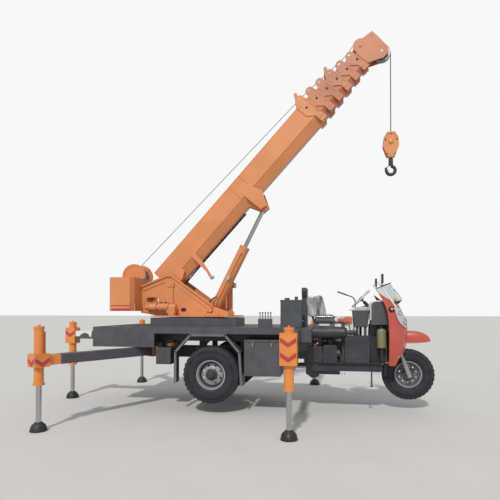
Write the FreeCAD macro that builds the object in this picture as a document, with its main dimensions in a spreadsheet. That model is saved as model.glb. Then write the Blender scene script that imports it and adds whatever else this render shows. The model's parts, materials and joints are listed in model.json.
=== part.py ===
import FreeCAD, Part, Sketcher
import math
import os

# Three-wheeled truck crane with a seven-section telescopic boom and five outrigger legs.
# Millimetres. +X is forward, +Y is left, +Z is up and Z = 0 is the ground under the jack feet.
# Pieces are drawn with X counted from the rear axle, and every node is then moved by axle_x.

Vector = FreeCAD.Vector
Turn = FreeCAD.Rotation
X_AXIS, Y_AXIS, Z_AXIS = Vector(1, 0, 0), Vector(0, 1, 0), Vector(0, 0, 1)

doc = FreeCAD.newDocument("three_wheeled_crane")
sheet = doc.addObject("Spreadsheet::Sheet", "sizes")

# Columns: name, value, meaning.
SIZES = [
    ("axle_x", -220, "place of the rear axle along X"),
    ("run_gap", 0.06, "radial running clearance of pins, hubs and journals"),
    ("slide_gap", 0.3, "clearance of flat sliding faces and of pieces seated on each other"),
    ("wheelbase", 2850, "rear axle to front axle"),
    ("wheel_lift", 160, "height of the tyres above the ground with the legs set"),
    ("rear_tyre_r", 410, "rear tyre radius"),
    ("rear_tyre_w", 215, "rear tyre width"),
    ("rear_rim_r", 215, "rear rim radius"),
    ("front_tyre_r", 378, "front tyre radius"),
    ("front_tyre_w", 175, "front tyre width"),
    ("front_rim_r", 205, "front rim radius"),
    ("track", 1500, "rear track, tyre centre to tyre centre"),
    ("spindle_r", 30, "radius of the rear wheel spindles"),
    ("front_spindle_r", 14, "radius of the front wheel spindle"),
    ("axle_tube_r", 55, "radius of the rear axle tube"),
    ("diff_r", 150, "radius of the differential case"),
    ("rail_y", 365, "centre of each frame rail from the centreline"),
    ("rail_w", 70, "frame rail width"),
    ("rail_top", 900, "top of the rear frame rails"),
    ("rail_depth", 120, "frame rail depth"),
    ("rail_back", -940, "rear end of the frame rails"),
    ("floor_top", 740, "top of the driver's floor"),
    ("deck_top", 1250, "top of the load deck"),
    ("deck_skin", 8, "deck plate thickness"),
    ("deck_back", -1850, "rear end of the deck"),
    ("deck_half", 800, "half width of the deck"),
    ("channel_depth", 90, "depth of the deck's side channel"),
    ("skirt_bottom", 955, "bottom of the deep rear side plates"),
    ("skirt_front", -870, "front end of the deep rear side plates"),
    ("base_back", -1080, "rear end of the turntable base"),
    ("base_front", 260, "front end of the turntable base"),
    ("base_half", 450, "half width of the turntable base"),
    ("base_top", 1385, "top of the turntable base box"),
    ("slew_x", -410, "slewing axis"),
    ("ring_r", 400, "slewing ring radius"),
    ("ring_top", 1400, "top of the slewing ring"),
    ("turret_t", 20, "turret base plate thickness"),
    ("cheek_y", 200, "inner face of each turret cheek from the centreline"),
    ("cheek_t", 18, "turret cheek thickness"),
    ("pivot_x", -850, "boom pivot along X"),
    ("pivot_z", 1915, "boom pivot height"),
    ("pivot_r", 40, "boom pivot pin radius"),
    ("foot_x", -180, "lift cylinder foot pin along X"),
    ("foot_z", 1500, "lift cylinder foot pin height"),
    ("foot_r", 30, "lift cylinder foot pin radius"),
    ("boom_angle", 47.3, "boom angle above level"),
    ("boom_w", 300, "width of the outermost boom section"),
    ("boom_h", 430, "height of the outermost boom section"),
    ("boom_below", 75, "boom underside below the pivot"),
    ("boom_wall", 7, "boom plate thickness"),
    ("boom_step", 28, "difference in width between boom sections"),
    ("boom_fall", 24, "fall of the top from one boom section to the next"),
    ("boom_rise", 10, "rise of the underside from one boom section to the next"),
    ("boom_len", 3590, "pivot to the first boom collar"),
    ("collar_pitch", 200, "distance between boom collars with the boom retracted"),
    ("collar_len", 200, "length of a boom collar along its top"),
    ("collar_t", 12, "boom collar plate thickness"),
    ("eye_s", 1924, "lift cylinder rod eye along the boom"),
    ("eye_below", 270, "lift cylinder rod eye below the pivot line"),
    ("eye_r", 30, "lift cylinder rod pin radius"),
    ("barrel_r", 82, "lift cylinder barrel radius"),
    ("rod_r", 33, "lift cylinder rod radius"),
    ("barrel_len", 1150, "lift cylinder barrel, foot pin to gland"),
    ("weight_back", -1760, "rear face of the counterweight"),
    ("weight_front", -1340, "front face of the counterweight"),
    ("weight_bottom", 1490, "bottom of the counterweight"),
    ("weight_top", 2020, "top of the counterweight"),
    ("weight_half", 545, "half width of the counterweight"),
    ("winch_x", -1500, "winch axis along X"),
    ("winch_z", 2060, "winch axis height"),
    ("drum_r", 95, "winch drum radius"),
    ("drum_half", 130, "half length of the winch drum"),
    ("drum_flange_r", 140, "winch drum flange radius"),
    ("winch_cover_r", 205, "radius of the winch side covers"),
    ("head_s", 4736, "upper head sheave along the boom"),
    ("head_up", 274, "upper head sheave above the pivot line"),
    ("nose_s", 4869, "hoist sheave along the boom"),
    ("nose_below", 40, "hoist sheave below the pivot line"),
    ("sheave_r", 110, "upper head sheave radius"),
    ("nose_r", 135, "hoist sheave radius"),
    ("hook_drop", 1390, "hoist sheave axis to the hook block sheave axis"),
    ("block_r", 125, "hook block sheave radius"),
    ("jack_r", 58, "outrigger jack tube radius"),
    ("jack_rod_r", 33, "outrigger jack rod radius"),
    ("jack_top", 1300, "top of the outrigger jack tubes"),
    ("jack_bottom", 570, "bottom of the outrigger jack tubes"),
    ("jack_foot_r", 98, "outrigger foot radius"),
    ("jack_stroke", 450, "outrigger jack stroke"),
    ("leg_near_y", 1850, "near front jack from the centreline"),
    ("leg_far_y", 2020, "far front jack from the centreline"),
    ("beam_pitch", 140, "distance between the two front beams along X"),
    ("beam_w", 120, "front beam width"),
    ("beam_h", 170, "front beam depth"),
    ("beam_top", 1235, "top of the front beams"),
    ("box_wall", 8, "wall of the beam boxes"),
    ("arm_pivot_x", -1050, "rear arm pivot along X"),
    ("arm_pivot_y", 450, "rear arm pivots from the centreline"),
    ("arm_len", 1750, "rear arm pivot to jack"),
    ("arm_w", 130, "rear arm width"),
    ("arm_h", 130, "rear arm depth"),
    ("arm_top", 942, "top of the rear arms"),
    ("arm_pin_r", 35, "rear arm pivot pin radius"),
    ("arm_near_angle", 61.74, "near rear arm, degrees out from straight back"),
    ("arm_far_angle", 48, "far rear arm, degrees out from straight back"),
    ("tail_x", -2690, "rear centre jack along X"),
    ("tail_beam_h", 130, "rear centre beam depth"),
    ("tail_beam_top", 1150, "top of the rear centre beam"),
    ("steer_rake", 20, "steering axis lean, degrees"),
    ("fork_offset", 40, "front axle ahead of the steering axis"),
    ("fork_half", 130, "fork legs from the centreline"),
    ("fork_leg_r", 26, "fork leg radius"),
    ("head_tube_low", 470, "bottom of the head tube along the steering axis"),
    ("head_tube_high", 690, "top of the head tube along the steering axis"),
    ("head_tube_r", 42, "head tube radius"),
    ("cowl_half", 450, "half width of the cowl"),
    ("cowl_bulge", 190, "bulge of the cowl ahead of its side edges"),
    ("cowl_bottom", 690, "bottom of the cowl"),
    ("cowl_top", 1640, "top of the cowl"),
    ("cowl_t", 8, "cowl thickness"),
    ("wheel_z", 1680, "steering wheel centre height"),
    ("hand_wheel_r", 190, "steering wheel radius"),
    ("column_tilt", 45, "steering column lean, degrees"),
    ("dash_top", 1450, "top of the dash box"),
    ("seat_top", 1430, "top of the seat cushion"),
    ("seat_half", 300, "half width of the seat"),
]
for row, (name, value, meaning) in enumerate(SIZES, 1):
    sheet.set(f"A{row}", meaning)
    sheet.set(f"B{row}", str(value))
    sheet.setAlias(f"B{row}", name)
doc.recompute()


class Size:
    """A length or angle that keeps its number and the expression that a property is bound to."""

    def __init__(self, number, words):
        self.number, self.words = number, words

    def _mix(self, other, sign, number, swap=False):
        left, right = (words_of(other), self.words) if swap else (self.words, words_of(other))
        return Size(number, f"({left} {sign} {right})")

    def __add__(self, other):
        return self._mix(other, "+", self.number + number_of(other))

    def __radd__(self, other):
        return self._mix(other, "+", number_of(other) + self.number, True)

    def __sub__(self, other):
        return self._mix(other, "-", self.number - number_of(other))

    def __rsub__(self, other):
        return self._mix(other, "-", number_of(other) - self.number, True)

    def __mul__(self, other):
        return self._mix(other, "*", self.number * number_of(other))

    __rmul__ = __mul__

    def __truediv__(self, other):
        return self._mix(other, "/", self.number / number_of(other))

    def __neg__(self):
        return Size(-self.number, f"(-1 * {self.words})")

    def __float__(self):
        return float(self.number)


def number_of(value):
    return value.number if isinstance(value, Size) else value


def words_of(value):
    return value.words if isinstance(value, Size) else repr(float(value))


def distance(across, up):
    return Size(math.hypot(float(across), float(up)), f"hypot({words_of(across)}; {words_of(up)})")


def lean_of(across, up):
    """The angle that a run makes with the upright."""
    return Size(math.degrees(math.atan2(float(across), float(up))),
                f"atan2({words_of(across)}; {words_of(up)})")


def sine(angle):
    return Size(math.sin(math.radians(float(angle))), f"sin({words_of(angle)})")


def cosine(angle):
    return Size(math.cos(math.radians(float(angle))), f"cos({words_of(angle)})")


class Sizes:
    def __getattr__(self, name):
        return Size(float(getattr(sheet, name)), f"sizes.{name}")


S = Sizes()

# Places that move with the front axle.
leg_front_x = S.wheelbase - 1620
rail_bend = S.wheelbase - 1540
seat_x = S.wheelbase - 1170
wheel_x = S.wheelbase - 690
floor_front = S.wheelbase - 410
cowl_edge_x = S.wheelbase - 290


def at(x, y, z):
    return Vector(float(x), float(y), float(z))


def bind(obj, **values):
    for name, value in values.items():
        obj.setExpression(name, words_of(value))
    return obj


def place(obj, where, axis=Z_AXIS, angle=0):
    """Puts an object at a point, turned about an axis, with both bound to the sheet."""
    obj.Placement = FreeCAD.Placement(at(*where), Turn(axis, float(angle)))
    for letter, value in zip("xyz", where):
        obj.setExpression(f"Placement.Base.{letter}", words_of(value))
    if isinstance(angle, Size):
        obj.setExpression("Placement.Rotation.Angle", words_of(angle))
    return obj


counter = {}


def label(kind):
    counter[kind] = counter.get(kind, 0) + 1
    return f"{kind}_{counter[kind]}"


def box(x, y, z):
    """A block between the pairs of limits x, y and z."""
    block = doc.addObject("Part::Box", label("block"))
    bind(block, Length=x[1] - x[0], Width=y[1] - y[0], Height=z[1] - z[0])
    return place(block, (x[0], y[0], z[0]))


TURNS = {"X": (Y_AXIS, 90), "Y": (X_AXIS, -90), "Z": (Z_AXIS, 0)}


def rod(radius, where, length, axis="Z"):
    """A round bar that starts at a point and runs along +X, +Y or +Z."""
    bar = doc.addObject("Part::Cylinder", label("bar"))
    bind(bar, Radius=radius, Height=length)
    return place(bar, where, *TURNS[axis])


def cone(radius_1, radius_2, where, length, axis="Z"):
    taper = doc.addObject("Part::Cone", label("taper"))
    bind(taper, Radius1=radius_1, Radius2=radius_2, Height=length)
    return place(taper, where, *TURNS[axis])


def ball(radius, where):
    sphere = doc.addObject("Part::Sphere", label("ball"))
    bind(sphere, Radius=radius)
    return place(sphere, where)


def fuse(*shapes):
    shapes = [s for s in shapes if s is not None]
    if len(shapes) == 1:
        return shapes[0]
    joined = doc.addObject("Part::MultiFuse", label("join"))
    joined.Shapes = list(shapes)
    joined.Refine = True
    return joined


def cut(base, *tools):
    result = doc.addObject("Part::Cut", label("cut"))
    result.Base, result.Tool = base, fuse(*tools)
    result.Refine = True
    return result


PLANES = {"XZ": "XZ_Plane", "YZ": "YZ_Plane", "XY": "XY_Plane"}


def slab(plane, points, low, high):
    """A flat outline in a plane, padded between two limits along the third axis."""
    body = doc.addObject("PartDesign::Body", label("body"))
    sketch = body.newObject("Sketcher::SketchObject", body.Name + "_outline")
    origin = [f for f in body.Origin.OriginFeatures if f.Role == PLANES[plane]][0]
    sketch.AttachmentSupport = [(origin, "")]
    sketch.MapMode = "FlatFace"
    start = -high if plane == "XZ" else low
    sketch.AttachmentOffset = FreeCAD.Placement(Vector(0, 0, float(start)), Turn())
    sketch.setExpression("AttachmentOffset.Base.z", words_of(start))
    corners = [Vector(float(a), float(b), 0) for a, b in points]
    count = len(corners)
    for i in range(count):
        sketch.addGeometry(Part.LineSegment(corners[i], corners[(i + 1) % count]))
    for i in range(count):
        sketch.addConstraint(Sketcher.Constraint("Coincident", i, 2, (i + 1) % count, 1))
    for i, pair in enumerate(points):
        for kind, value in zip(("DistanceX", "DistanceY"), pair):
            which = sketch.addConstraint(Sketcher.Constraint(kind, -1, 1, i, 1, float(value)))
            sketch.setExpression(f"Constraints[{which}]", words_of(value))
    pad = body.newObject("PartDesign::Pad", body.Name + "_pad")
    pad.Profile = sketch
    bind(pad, Length=high - low)
    return body


def shaped(shape):
    """A piece whose form neither primitives nor pads fit."""
    piece = doc.addObject("Part::Feature", label("form"))
    piece.Shape = shape
    return piece


def turned(points):
    """A turned piece: (radius, along) points revolved about the upright through the origin."""
    wire = Part.makePolygon([Vector(float(r), 0, float(a)) for r, a in points + points[:1]])
    return shaped(Part.Face(wire).revolve(Vector(), Z_AXIS, 360))


def ribbon(points, thickness):
    """The outline of a bent sheet: its path, then the same path set in by its thickness."""
    path = [(float(a), float(b)) for a, b in points]
    inner = []
    for i, (a, b) in enumerate(path):
        before = path[max(i - 1, 0)]
        after = path[min(i + 1, len(path) - 1)]
        here = path[i]
        normals = []
        for p, q in ((before, here), (here, after)):
            run = math.hypot(q[0] - p[0], q[1] - p[1])
            if run > 0:
                normals.append(((q[1] - p[1]) / run, -(q[0] - p[0]) / run))
        nx = sum(n[0] for n in normals) / len(normals)
        ny = sum(n[1] for n in normals) / len(normals)
        scale = float(thickness) / (nx * nx + ny * ny)
        inner.append((a + nx * scale, b + ny * scale))
    return list(points) + inner[::-1]


nodes = {}


def node(name, piece, where=(0, 0, 0), axis=Z_AXIS, angle=0):
    """Names a finished sub-part and puts it in the crane's frame."""
    if piece.TypeId in ("Part::Box", "Part::Cylinder"):
        whole = doc.addObject("Part::Compound", label("whole"))
        whole.Links = [piece]
        piece = whole
    piece.Label = name
    place(piece, (where[0] + S.axle_x, where[1], where[2]), axis, angle)
    nodes[name] = piece
    return piece


SIDES = (("near", -1), ("far", 1))


def pair(low, high, side):
    """Limits from the centreline outwards, on one side of it."""
    return (side * high, side * low) if side < 0 else (low, high)


def frame():
    rails = []
    low, bend = S.rail_top - S.rail_depth, rail_bend
    floor, drop = S.floor_top - 10, S.rail_depth
    for _, side in SIDES:
        y = pair(S.rail_y - S.rail_w / 2, S.rail_y + S.rail_w / 2, side)
        rails.append(slab("XZ", [(S.rail_back, low), (bend, low), (bend + 150, floor - drop),
                                 (floor_front, floor - drop), (floor_front, floor),
                                 (bend + 200, floor), (bend + 50, S.rail_top),
                                 (S.rail_back, S.rail_top)], y[0], y[1]))
    half = S.rail_y - S.rail_w / 2
    for x in (S.rail_back + 40, -480, 430, rail_bend - 90):
        rails.append(box((x, x + 60), (-half, half), (low + 15, S.rail_top - 15)))
    rails.append(box((floor_front - 70, floor_front), (-half, half), (floor - drop, floor)))
    return rails


def steer_point(along):
    """A point on the steering axis, counted upwards from beside the front axle."""
    x = S.wheelbase - S.fork_offset * cosine(S.steer_rake) - along * sine(S.steer_rake)
    z = front_axle_z - S.fork_offset * sine(S.steer_rake) + along * cosine(S.steer_rake)
    return x, z


rear_axle_z = S.wheel_lift + S.rear_tyre_r
front_axle_z = S.wheel_lift + S.front_tyre_r


def make_frame():
    x, z = steer_point(S.head_tube_low)
    tube = cut(rod(S.head_tube_r, (0, 0, 0), S.head_tube_high - S.head_tube_low),
               rod(24, (0, 0, -1), S.head_tube_high - S.head_tube_low + 2))
    place(tube, (x, 0, z), Y_AXIS, -S.steer_rake)
    floor = S.floor_top - 10
    x_top, z_top = steer_point(S.head_tube_high)
    neck = slab("XZ", [(floor_front - 70, floor - S.rail_depth), (floor_front - 10, floor - 100),
                       (x - 20, z + 30), (x_top - 20, z_top - 40), (x_top - 90, z_top - 60),
                       (floor_front - 110, floor)], -45, 45)
    bore = rod(S.head_tube_r - 5, (0, 0, 0), 400)
    sweep = rod(188, (0, 0, 0), 500)
    sweep_x, sweep_z = steer_point(S.head_tube_low - 500)
    neck = cut(neck, place(bore, (x, 0, z), Y_AXIS, -S.steer_rake),
               place(sweep, (sweep_x, 0, sweep_z), Y_AXIS, -S.steer_rake))
    # Upright posts carry the crane's deck above the lower rails.
    posts = []
    for _, side in SIDES:
        y = pair(S.rail_y - S.rail_w / 2, S.rail_y + S.rail_w / 2, side)
        for post_x in (S.rail_back, -300, 350, rail_bend - 410):
            posts.append(box((post_x, post_x + 80), y, (S.rail_top, S.rail_top + 130)))
    node("frame", fuse(*frame(), neck, tube, *posts))


def make_deck():
    skin = S.deck_skin
    deck_front = leg_front_x - S.beam_w / 2 - S.slide_gap - S.box_wall
    pieces = [box((S.deck_back, deck_front), (-S.deck_half, S.deck_half),
                  (S.deck_top - skin, S.deck_top))]
    for _, side in SIDES:
        y = pair(S.deck_half - skin, S.deck_half, side)
        low = S.deck_top - S.channel_depth
        pieces.append(slab("XZ", [(S.deck_back, S.skirt_bottom), (S.skirt_front, S.skirt_bottom),
                                  (S.skirt_front, low), (deck_front, low),
                                  (deck_front, S.deck_top - skin / 2),
                                  (S.deck_back, S.deck_top - skin / 2)], y[0], y[1]))
        lip = pair(S.deck_half - 42, S.deck_half - skin / 2, side)
        pieces.append(box((S.skirt_front - 10, deck_front), lip, (low, low + 7)))
        rail = pair(S.rail_y - S.rail_w / 2, S.rail_y + S.rail_w / 2, side)
        pieces.append(box((S.deck_back + 60, deck_front), rail, (S.rail_top + 130, S.deck_top - skin / 2)))
    half = S.deck_half - skin / 2
    for x in (-1260, -700, -300, deck_front - 1062, deck_front - 662, deck_front - 312, deck_front - 60):
        pieces.append(box((x, x + 60), (-half, half),
                          (S.deck_top - S.channel_depth + 5, S.deck_top - skin / 2)))
    pieces.append(box((S.deck_back, S.deck_back + 60), (-half, half),
                      (S.skirt_bottom + 75, S.deck_top - skin / 2)))
    # The rear arms hang on pins between a cross box and a lower bracket plate.
    top = S.skirt_bottom
    pieces.append(box((S.arm_pivot_x - 110, S.arm_pivot_x + 110), (-half, half),
                      (top, S.deck_top - skin / 2)))
    low = S.arm_top - S.arm_h - 8
    for _, side in SIDES:
        y = side * S.arm_pivot_y
        pieces.append(rod(S.arm_pin_r, (S.arm_pivot_x, y, low - 20), top - low + 30))
        across = (y - 40, y + 60) if side > 0 else (y - 60, y + 40)
        pieces.append(box((S.arm_pivot_x - 60, S.arm_pivot_x + 175), across, (low - 12, low)))
        pieces.append(box((S.arm_pivot_x + 105, S.arm_pivot_x + 175), across, (low - 12, top + 60)))
    # The tail box guides the rear centre beam.
    wall = S.box_wall
    beam = S.tail_beam_h / 2 + S.slide_gap
    z = (S.tail_beam_top - S.tail_beam_h - S.slide_gap, S.tail_beam_top + S.slide_gap)
    outer = box((S.deck_back - 300, -1260), (-beam - wall, beam + wall), (z[0] - wall, z[1] + wall))
    pocket = box((S.deck_back - 301, -1280), (-beam, beam), z)
    for _, side in SIDES:
        y = pair(beam + wall - 2, beam + wall + 12, side)
        gusset = slab("XZ", [(S.deck_back + 5, S.deck_top - 1), (S.deck_back - 290, 1170),
                             (S.deck_back - 290, 1050), (S.deck_back + 5, 1050)], y[0], y[1])
        pieces.append(cut(gusset, rod(30, (S.deck_back - 120, y[0] - 1, 1115), 16, "Y")))
    # The valve block with its levers, within reach at the near side.
    x = leg_front_x - 570
    pieces.append(box((x, x + 200), (-640, -560), (S.deck_top - 5, 1375)))
    for k in range(5):
        pieces.append(rod(7, (x + 20 + 40 * k, -590, 1370), 95))
        pieces.append(ball(12, (x + 20 + 40 * k, -590, 1465)))
    ring = fuse(*pieces, outer)
    node("deck", cut(ring, pocket))


def make_turntable_base():
    bed = slab("XY", [(S.base_back, -S.base_half), (S.base_front, -S.base_half * 0.8),
                      (S.base_front, S.base_half * 0.8), (S.base_back, S.base_half)],
               S.deck_top, S.base_top)
    ring = rod(S.ring_r, (S.slew_x, 0, S.base_top), S.ring_top - S.base_top)
    node("turntable_base", fuse(bed, ring))


def make_rear_axle():
    z = rear_axle_z
    half = S.track / 2 - S.rear_tyre_w / 2 - 30
    low = z + S.axle_tube_r - 8
    pieces = [rod(S.axle_tube_r, (0, -half, z), 2 * half, "Y"),
              ball(S.diff_r, (0, 0, z)),
              rod(110, (60, 0, z), 130, "X"),
              cone(95, 62, (-170, 0, z), 60, "X"),
              rod(S.spindle_r, (0, -S.track / 2 - 60, z), S.track + 120, "Y")]
    for _, side in SIDES:
        y = pair(half - 10, half + 25, side)
        pieces.append(rod(150, (0, y[0], z), 35, "Y"))
        y = pair(half - 22, half - 4, side)
        pieces.append(rod(120, (0, y[0], z), 18, "Y"))
        # Spring leaves as one stepped stack, the longest on top, with hangers up to the rail.
        stack = []
        for leaf, reach in enumerate((440, 350, 265, 180)):
            y = pair(S.rail_y - 30 - leaf, S.rail_y + 30 + leaf, side)
            top = low + 62 - 13 * leaf
            rise = 88 * (reach / 440) ** 2
            outline = [(-reach, top + rise + 6), (-reach / 2, top + rise / 4 + 6), (0, top + 6),
                       (reach / 2, top + rise / 4 + 6), (reach, top + rise + 6),
                       (reach, top + rise - 8), (reach / 2, top + rise / 4 - 8), (0, top - 8),
                       (-reach / 2, top + rise / 4 - 8), (-reach, top + rise - 8)]
            stack.append(slab("XZ", outline, y[0], y[1]))
        y = pair(S.rail_y - 36, S.rail_y + 36, side)
        stack.append(box((-70, 70), y, (z + 20, low + 33)))
        for end in (-1, 1):
            x = pair(398, 445, end)
            stack.append(box(x, y, (low + 140, S.rail_top - S.rail_depth)))
        y = pair(S.rail_y - 46, S.rail_y + 46, side)
        for x in (-52, 36):
            stack.append(box((x, x + 16), y, (z - 69, low + 78)))
        pieces.append(fuse(*stack))
    node("rear_axle", fuse(*pieces))


def tyre_outline(radius, width, rim):
    """Bead, bulging wall, shoulder and slightly crowned tread; columns: share of height, of width."""
    half, tall = width / 2, radius - rim
    wall = [(0, 0.72), (0.10, 0.84), (0.28, 0.97), (0.48, 1), (0.66, 0.96), (0.82, 0.90),
            (0.94, 0.80), (0.985, 0.60), (1, 0.25)]
    near = [(rim + tall * up, -half * out) for up, out in wall]
    return near + [(rim + tall * up, half * out) for up, out in wall[::-1]]


def rim_outline(rim, width, bore, dish):
    half = width / 2
    return [(bore, dish - 45), (75, dish - 45), (80, dish - 6), (rim - 60, dish - 25),
            (rim - 22, -half * 0.35), (rim - 22, -half * 0.6), (rim - 1, -half * 0.66),
            (rim - 1, -half * 0.71), (rim - 0.3, -half * 0.71), (rim - 0.3, half * 0.71),
            (rim - 14, half * 0.71), (rim - 30, half * 0.2), (rim - 34, -half * 0.2),
            (rim - 66, dish - 10), (84, dish + 8), (74, dish + 30), (bore, dish + 30)]


def wheel_rim(rim, width, bore, holes, hole_r):
    """A dished disc wheel with hand holes."""
    disc = turned(rim_outline(rim, width, bore, 0))
    cuts = []
    for k in range(holes):
        a = math.radians(360 / holes * (k + 0.5))
        reach = float(rim) - 76
        cuts.append(rod(hole_r, (reach * math.cos(a), reach * math.sin(a), -120), 240))
    return cut(disc, *cuts)


def make_rear_wheels():
    for name, side in SIDES:
        y = side * S.track / 2
        where = (0, y, rear_axle_z)
        node(f"rear_tyre_{name}", turned(tyre_outline(S.rear_tyre_r, S.rear_tyre_w, S.rear_rim_r)),
             where, X_AXIS, -90 * side)
        node(f"rear_rim_{name}", wheel_rim(S.rear_rim_r, S.rear_tyre_w, S.spindle_r + S.run_gap, 8, 19),
             where, X_AXIS, -90 * side)


def make_fenders():
    pieces = []
    for _, side in SIDES:
        y = pair(S.deck_half - 200, S.deck_half, side)
        top = S.deck_top - S.channel_depth - S.slide_gap
        path = [(-560, 440), (-560, 900), (-320, top), (210, top), (430, 900), (460, 420)]
        pieces.append(slab("XZ", ribbon(path, 5), y[0], y[1]))
    node("fenders", fuse(*pieces))


def make_boxes():
    front = leg_front_x - 230
    tool_box = box((480, front), (-S.deck_half + 30, -S.rail_y - S.rail_w / 2), (560, 1080))
    fuel = box((480, front), (S.rail_y + S.rail_w / 2, S.deck_half - 30), (640, 1080))
    battery = box((-865, -640), (-S.deck_half + 60, -S.rail_y - S.rail_w / 2), (700, 940))
    trims = []
    for out, low in ((-1, 560), (1, 640)):
        y = pair(S.deck_half - 31, S.deck_half - 18, out)
        trims.append(box((485, front - 5), y, (1052, 1076)))
        for lock in (580, front - 130):
            trims.append(box((lock, lock + 50), y, (985, 1053)))
    for x in (600, front - 150):
        trims.append(box((x, x + 40), (S.rail_y + S.rail_w / 2 + 5, S.deck_half - 26), (634, 1086)))
    node("side_boxes", fuse(tool_box, fuel, battery, *trims))


def make_engine():
    """Engine, gearbox, sump, exhaust and fan; the block's lower half hangs between the rails."""
    x, floor = S.wheelbase - 1410, S.floor_top
    feet = [box((x + foot, x + foot + 60), pair(170, 250, side), (floor + S.slide_gap, 780))
            for foot in (90, 410) for _, side in SIDES]
    block = [box((x + 40, x + 500), (-175, 175), (floor, 960)),
             slab("YZ", [(-150, 940), (-95, 1120), (95, 1120), (150, 940)], x + 70, x + 470),
             box((x + 90, x + 450), (-80, 80), (1110, 1160)),
             rod(26, (x + 200, 0, 1150), 35),
             box((x - 60, x + 60), (-130, 130), (floor + 20, 930)),
             slab("XZ", [(x - 60, 880), (x - 60, 700), (x - 150, 660), (x - 150, 790)], -90, 90),
             box((x + 60, x + 400), (-120, 120), (520, floor + 10)),
             slab("XZ", [(x - 120, 690), (x + 80, 640), (x + 80, 480), (x - 20, 450), (x - 120, 520)],
                  -100, 100)]
    block += [rod(120, (x + 500, 0, 870), 16, "X"), rod(45, (x + 490, 0, 870), 40, "X"),
              rod(55, (x + 500, -90, 1010), 20, "X"), rod(20, (x + 380, -90, 1010), 130, "X"),
              rod(62, (x + 250, -235, 850), 150, "X"), box((x + 270, x + 380), (-230, -150), (830, 870)),
              rod(48, (x + 250, -230, 960), 90), box((x + 228, x + 272), (-215, -140), (965, 1005))]
    for k in range(4):
        port = x + 130 + 95 * k
        block.append(box((port - 20, port + 20), (100, 195), (985, 1035)))
    block.append(rod(32, (x + 90, 185, 1010), 360, "X"))
    node("engine", fuse(*block, *feet))
    wall = leg_front_x + S.beam_pitch + S.beam_w / 2 + S.slide_gap + S.box_wall
    tank = fuse(rod(85, (wall + S.slide_gap, -400, 1175), 460, "X"),
                cone(85, 60, (wall + S.slide_gap + 460, -400, 1175), 40, "X"),
                *[rod(89, (wall + S.slide_gap + at_x, -400, 1175), 36, "X") for at_x in (90, 330)],
                rod(34, (wall + S.slide_gap + 490, -400, 1175), 50, "X"))
    node("air_cleaner", tank)


def make_front_box():
    wall, gap = S.box_wall, S.slide_gap
    near_x, far_x = leg_front_x, leg_front_x + S.beam_pitch
    half = S.beam_w / 2
    z = (S.beam_top - S.beam_h - gap, S.beam_top + gap)
    outer = box((near_x - half - gap - wall, far_x + half + gap + wall),
                (-S.deck_half, S.deck_half), (z[0] - wall, z[1] + wall))
    cells = [box((x - half - gap, x + half + gap), (-S.deck_half - 1, S.deck_half + 1), z)
             for x in (near_x, far_x)]
    posts = [box((near_x - half, far_x + half), pair(S.rail_y - 35, S.rail_y + 35, side),
                 (S.rail_top, z[0] - wall)) for _, side in SIDES]
    node("front_beam_box", fuse(cut(outer, *cells), *posts))
    x = near_x + S.beam_pitch / 2
    top = S.beam_top + gap + wall
    saddle = slab("YZ", [(-170, 1800), (-120, 1700), (120, 1700), (170, 1800), (170, 1850),
                         (110, 1760), (-110, 1760), (-170, 1850)], x - 40, x + 40)
    node("boom_rest", fuse(box((x - 40, x + 40), (-110, -70), (top, 1720)),
                           box((x - 40, x + 40), (70, 110), (top, 1720)), saddle))
    low = S.deck_top + gap
    tank = fuse(box((near_x - 245, near_x + 60), (-620, -350), (low, 1640)),
                box((near_x - 250, near_x + 65), (-625, -345), (1628, 1652)),
                rod(38, (near_x - 160, -480, 1645), 38), rod(24, (near_x - 30, -430, 1645), 60),
                rod(14, (near_x + 50, -560, 1340), 32, "X"), rod(14, (near_x + 50, -420, 1340), 32, "X"))
    node("oil_tank", tank)


def make_cab():
    floor = box((rail_bend + 205, floor_front + 50), (-450, 450),
                (S.floor_top - 10, S.floor_top))
    low = S.floor_top - 12
    hole = box((rail_bend + 200, S.wheelbase - 880), (-215, 215), (low, S.floor_top + 2))
    slot = box((floor_front - 180, floor_front + 60), (-47, 47), (low, S.floor_top + 2))
    node("cab_floor", cut(floor, hole, slot))
    x, half = seat_x, S.seat_half
    cushion_low = S.seat_top - 110
    base = fuse(box((x - 230, x + 230), (-half, half), (cushion_low - 20, cushion_low)),
                *[box((px, px + 40), pair(half - 40, half, side), (S.floor_top, cushion_low - 10))
                  for px in (x - 150, x + 190) for _, side in SIDES])
    node("seat_base", base)
    node("seat_cushion", box((x - 220, x + 240), (-half, half), (cushion_low, S.seat_top)))
    node("seat_back", box((0, 110), (-half, half), (0, 320)),
         (x - 218, 0, S.seat_top + S.slide_gap), Y_AXIS, -12)
    floor = S.floor_top
    x, low = wheel_x, S.dash_top - 210
    dash = fuse(box((x - 110, x + 110), (-130, 130), (low, S.dash_top)),
                box((x - 80, x - 40), (-110, -70), (floor, low + 10)),
                box((x + 40, x + 80), (-110, -70), (floor, low + 10)),
                box((x - 20, x + 20), (70, 110), (floor, low + 10)))
    tank = fuse(box((x + 130, x + 320), (-340, -60), (S.dash_top - 160, S.dash_top + 180)),
                rod(70, (x + 260, -220, floor + 160), 340), rod(25, (x + 260, -220, floor), 600))
    node("dash_units", fuse(dash, tank))


def arc_wire(half, edge_x, bulge, z):
    """A curve across the vehicle, bulging forward between its two edges."""
    arc = Part.Arc(at(edge_x, -half, z), at(edge_x + bulge, 0, z), at(edge_x, half, z))
    return arc.toShape()


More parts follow.
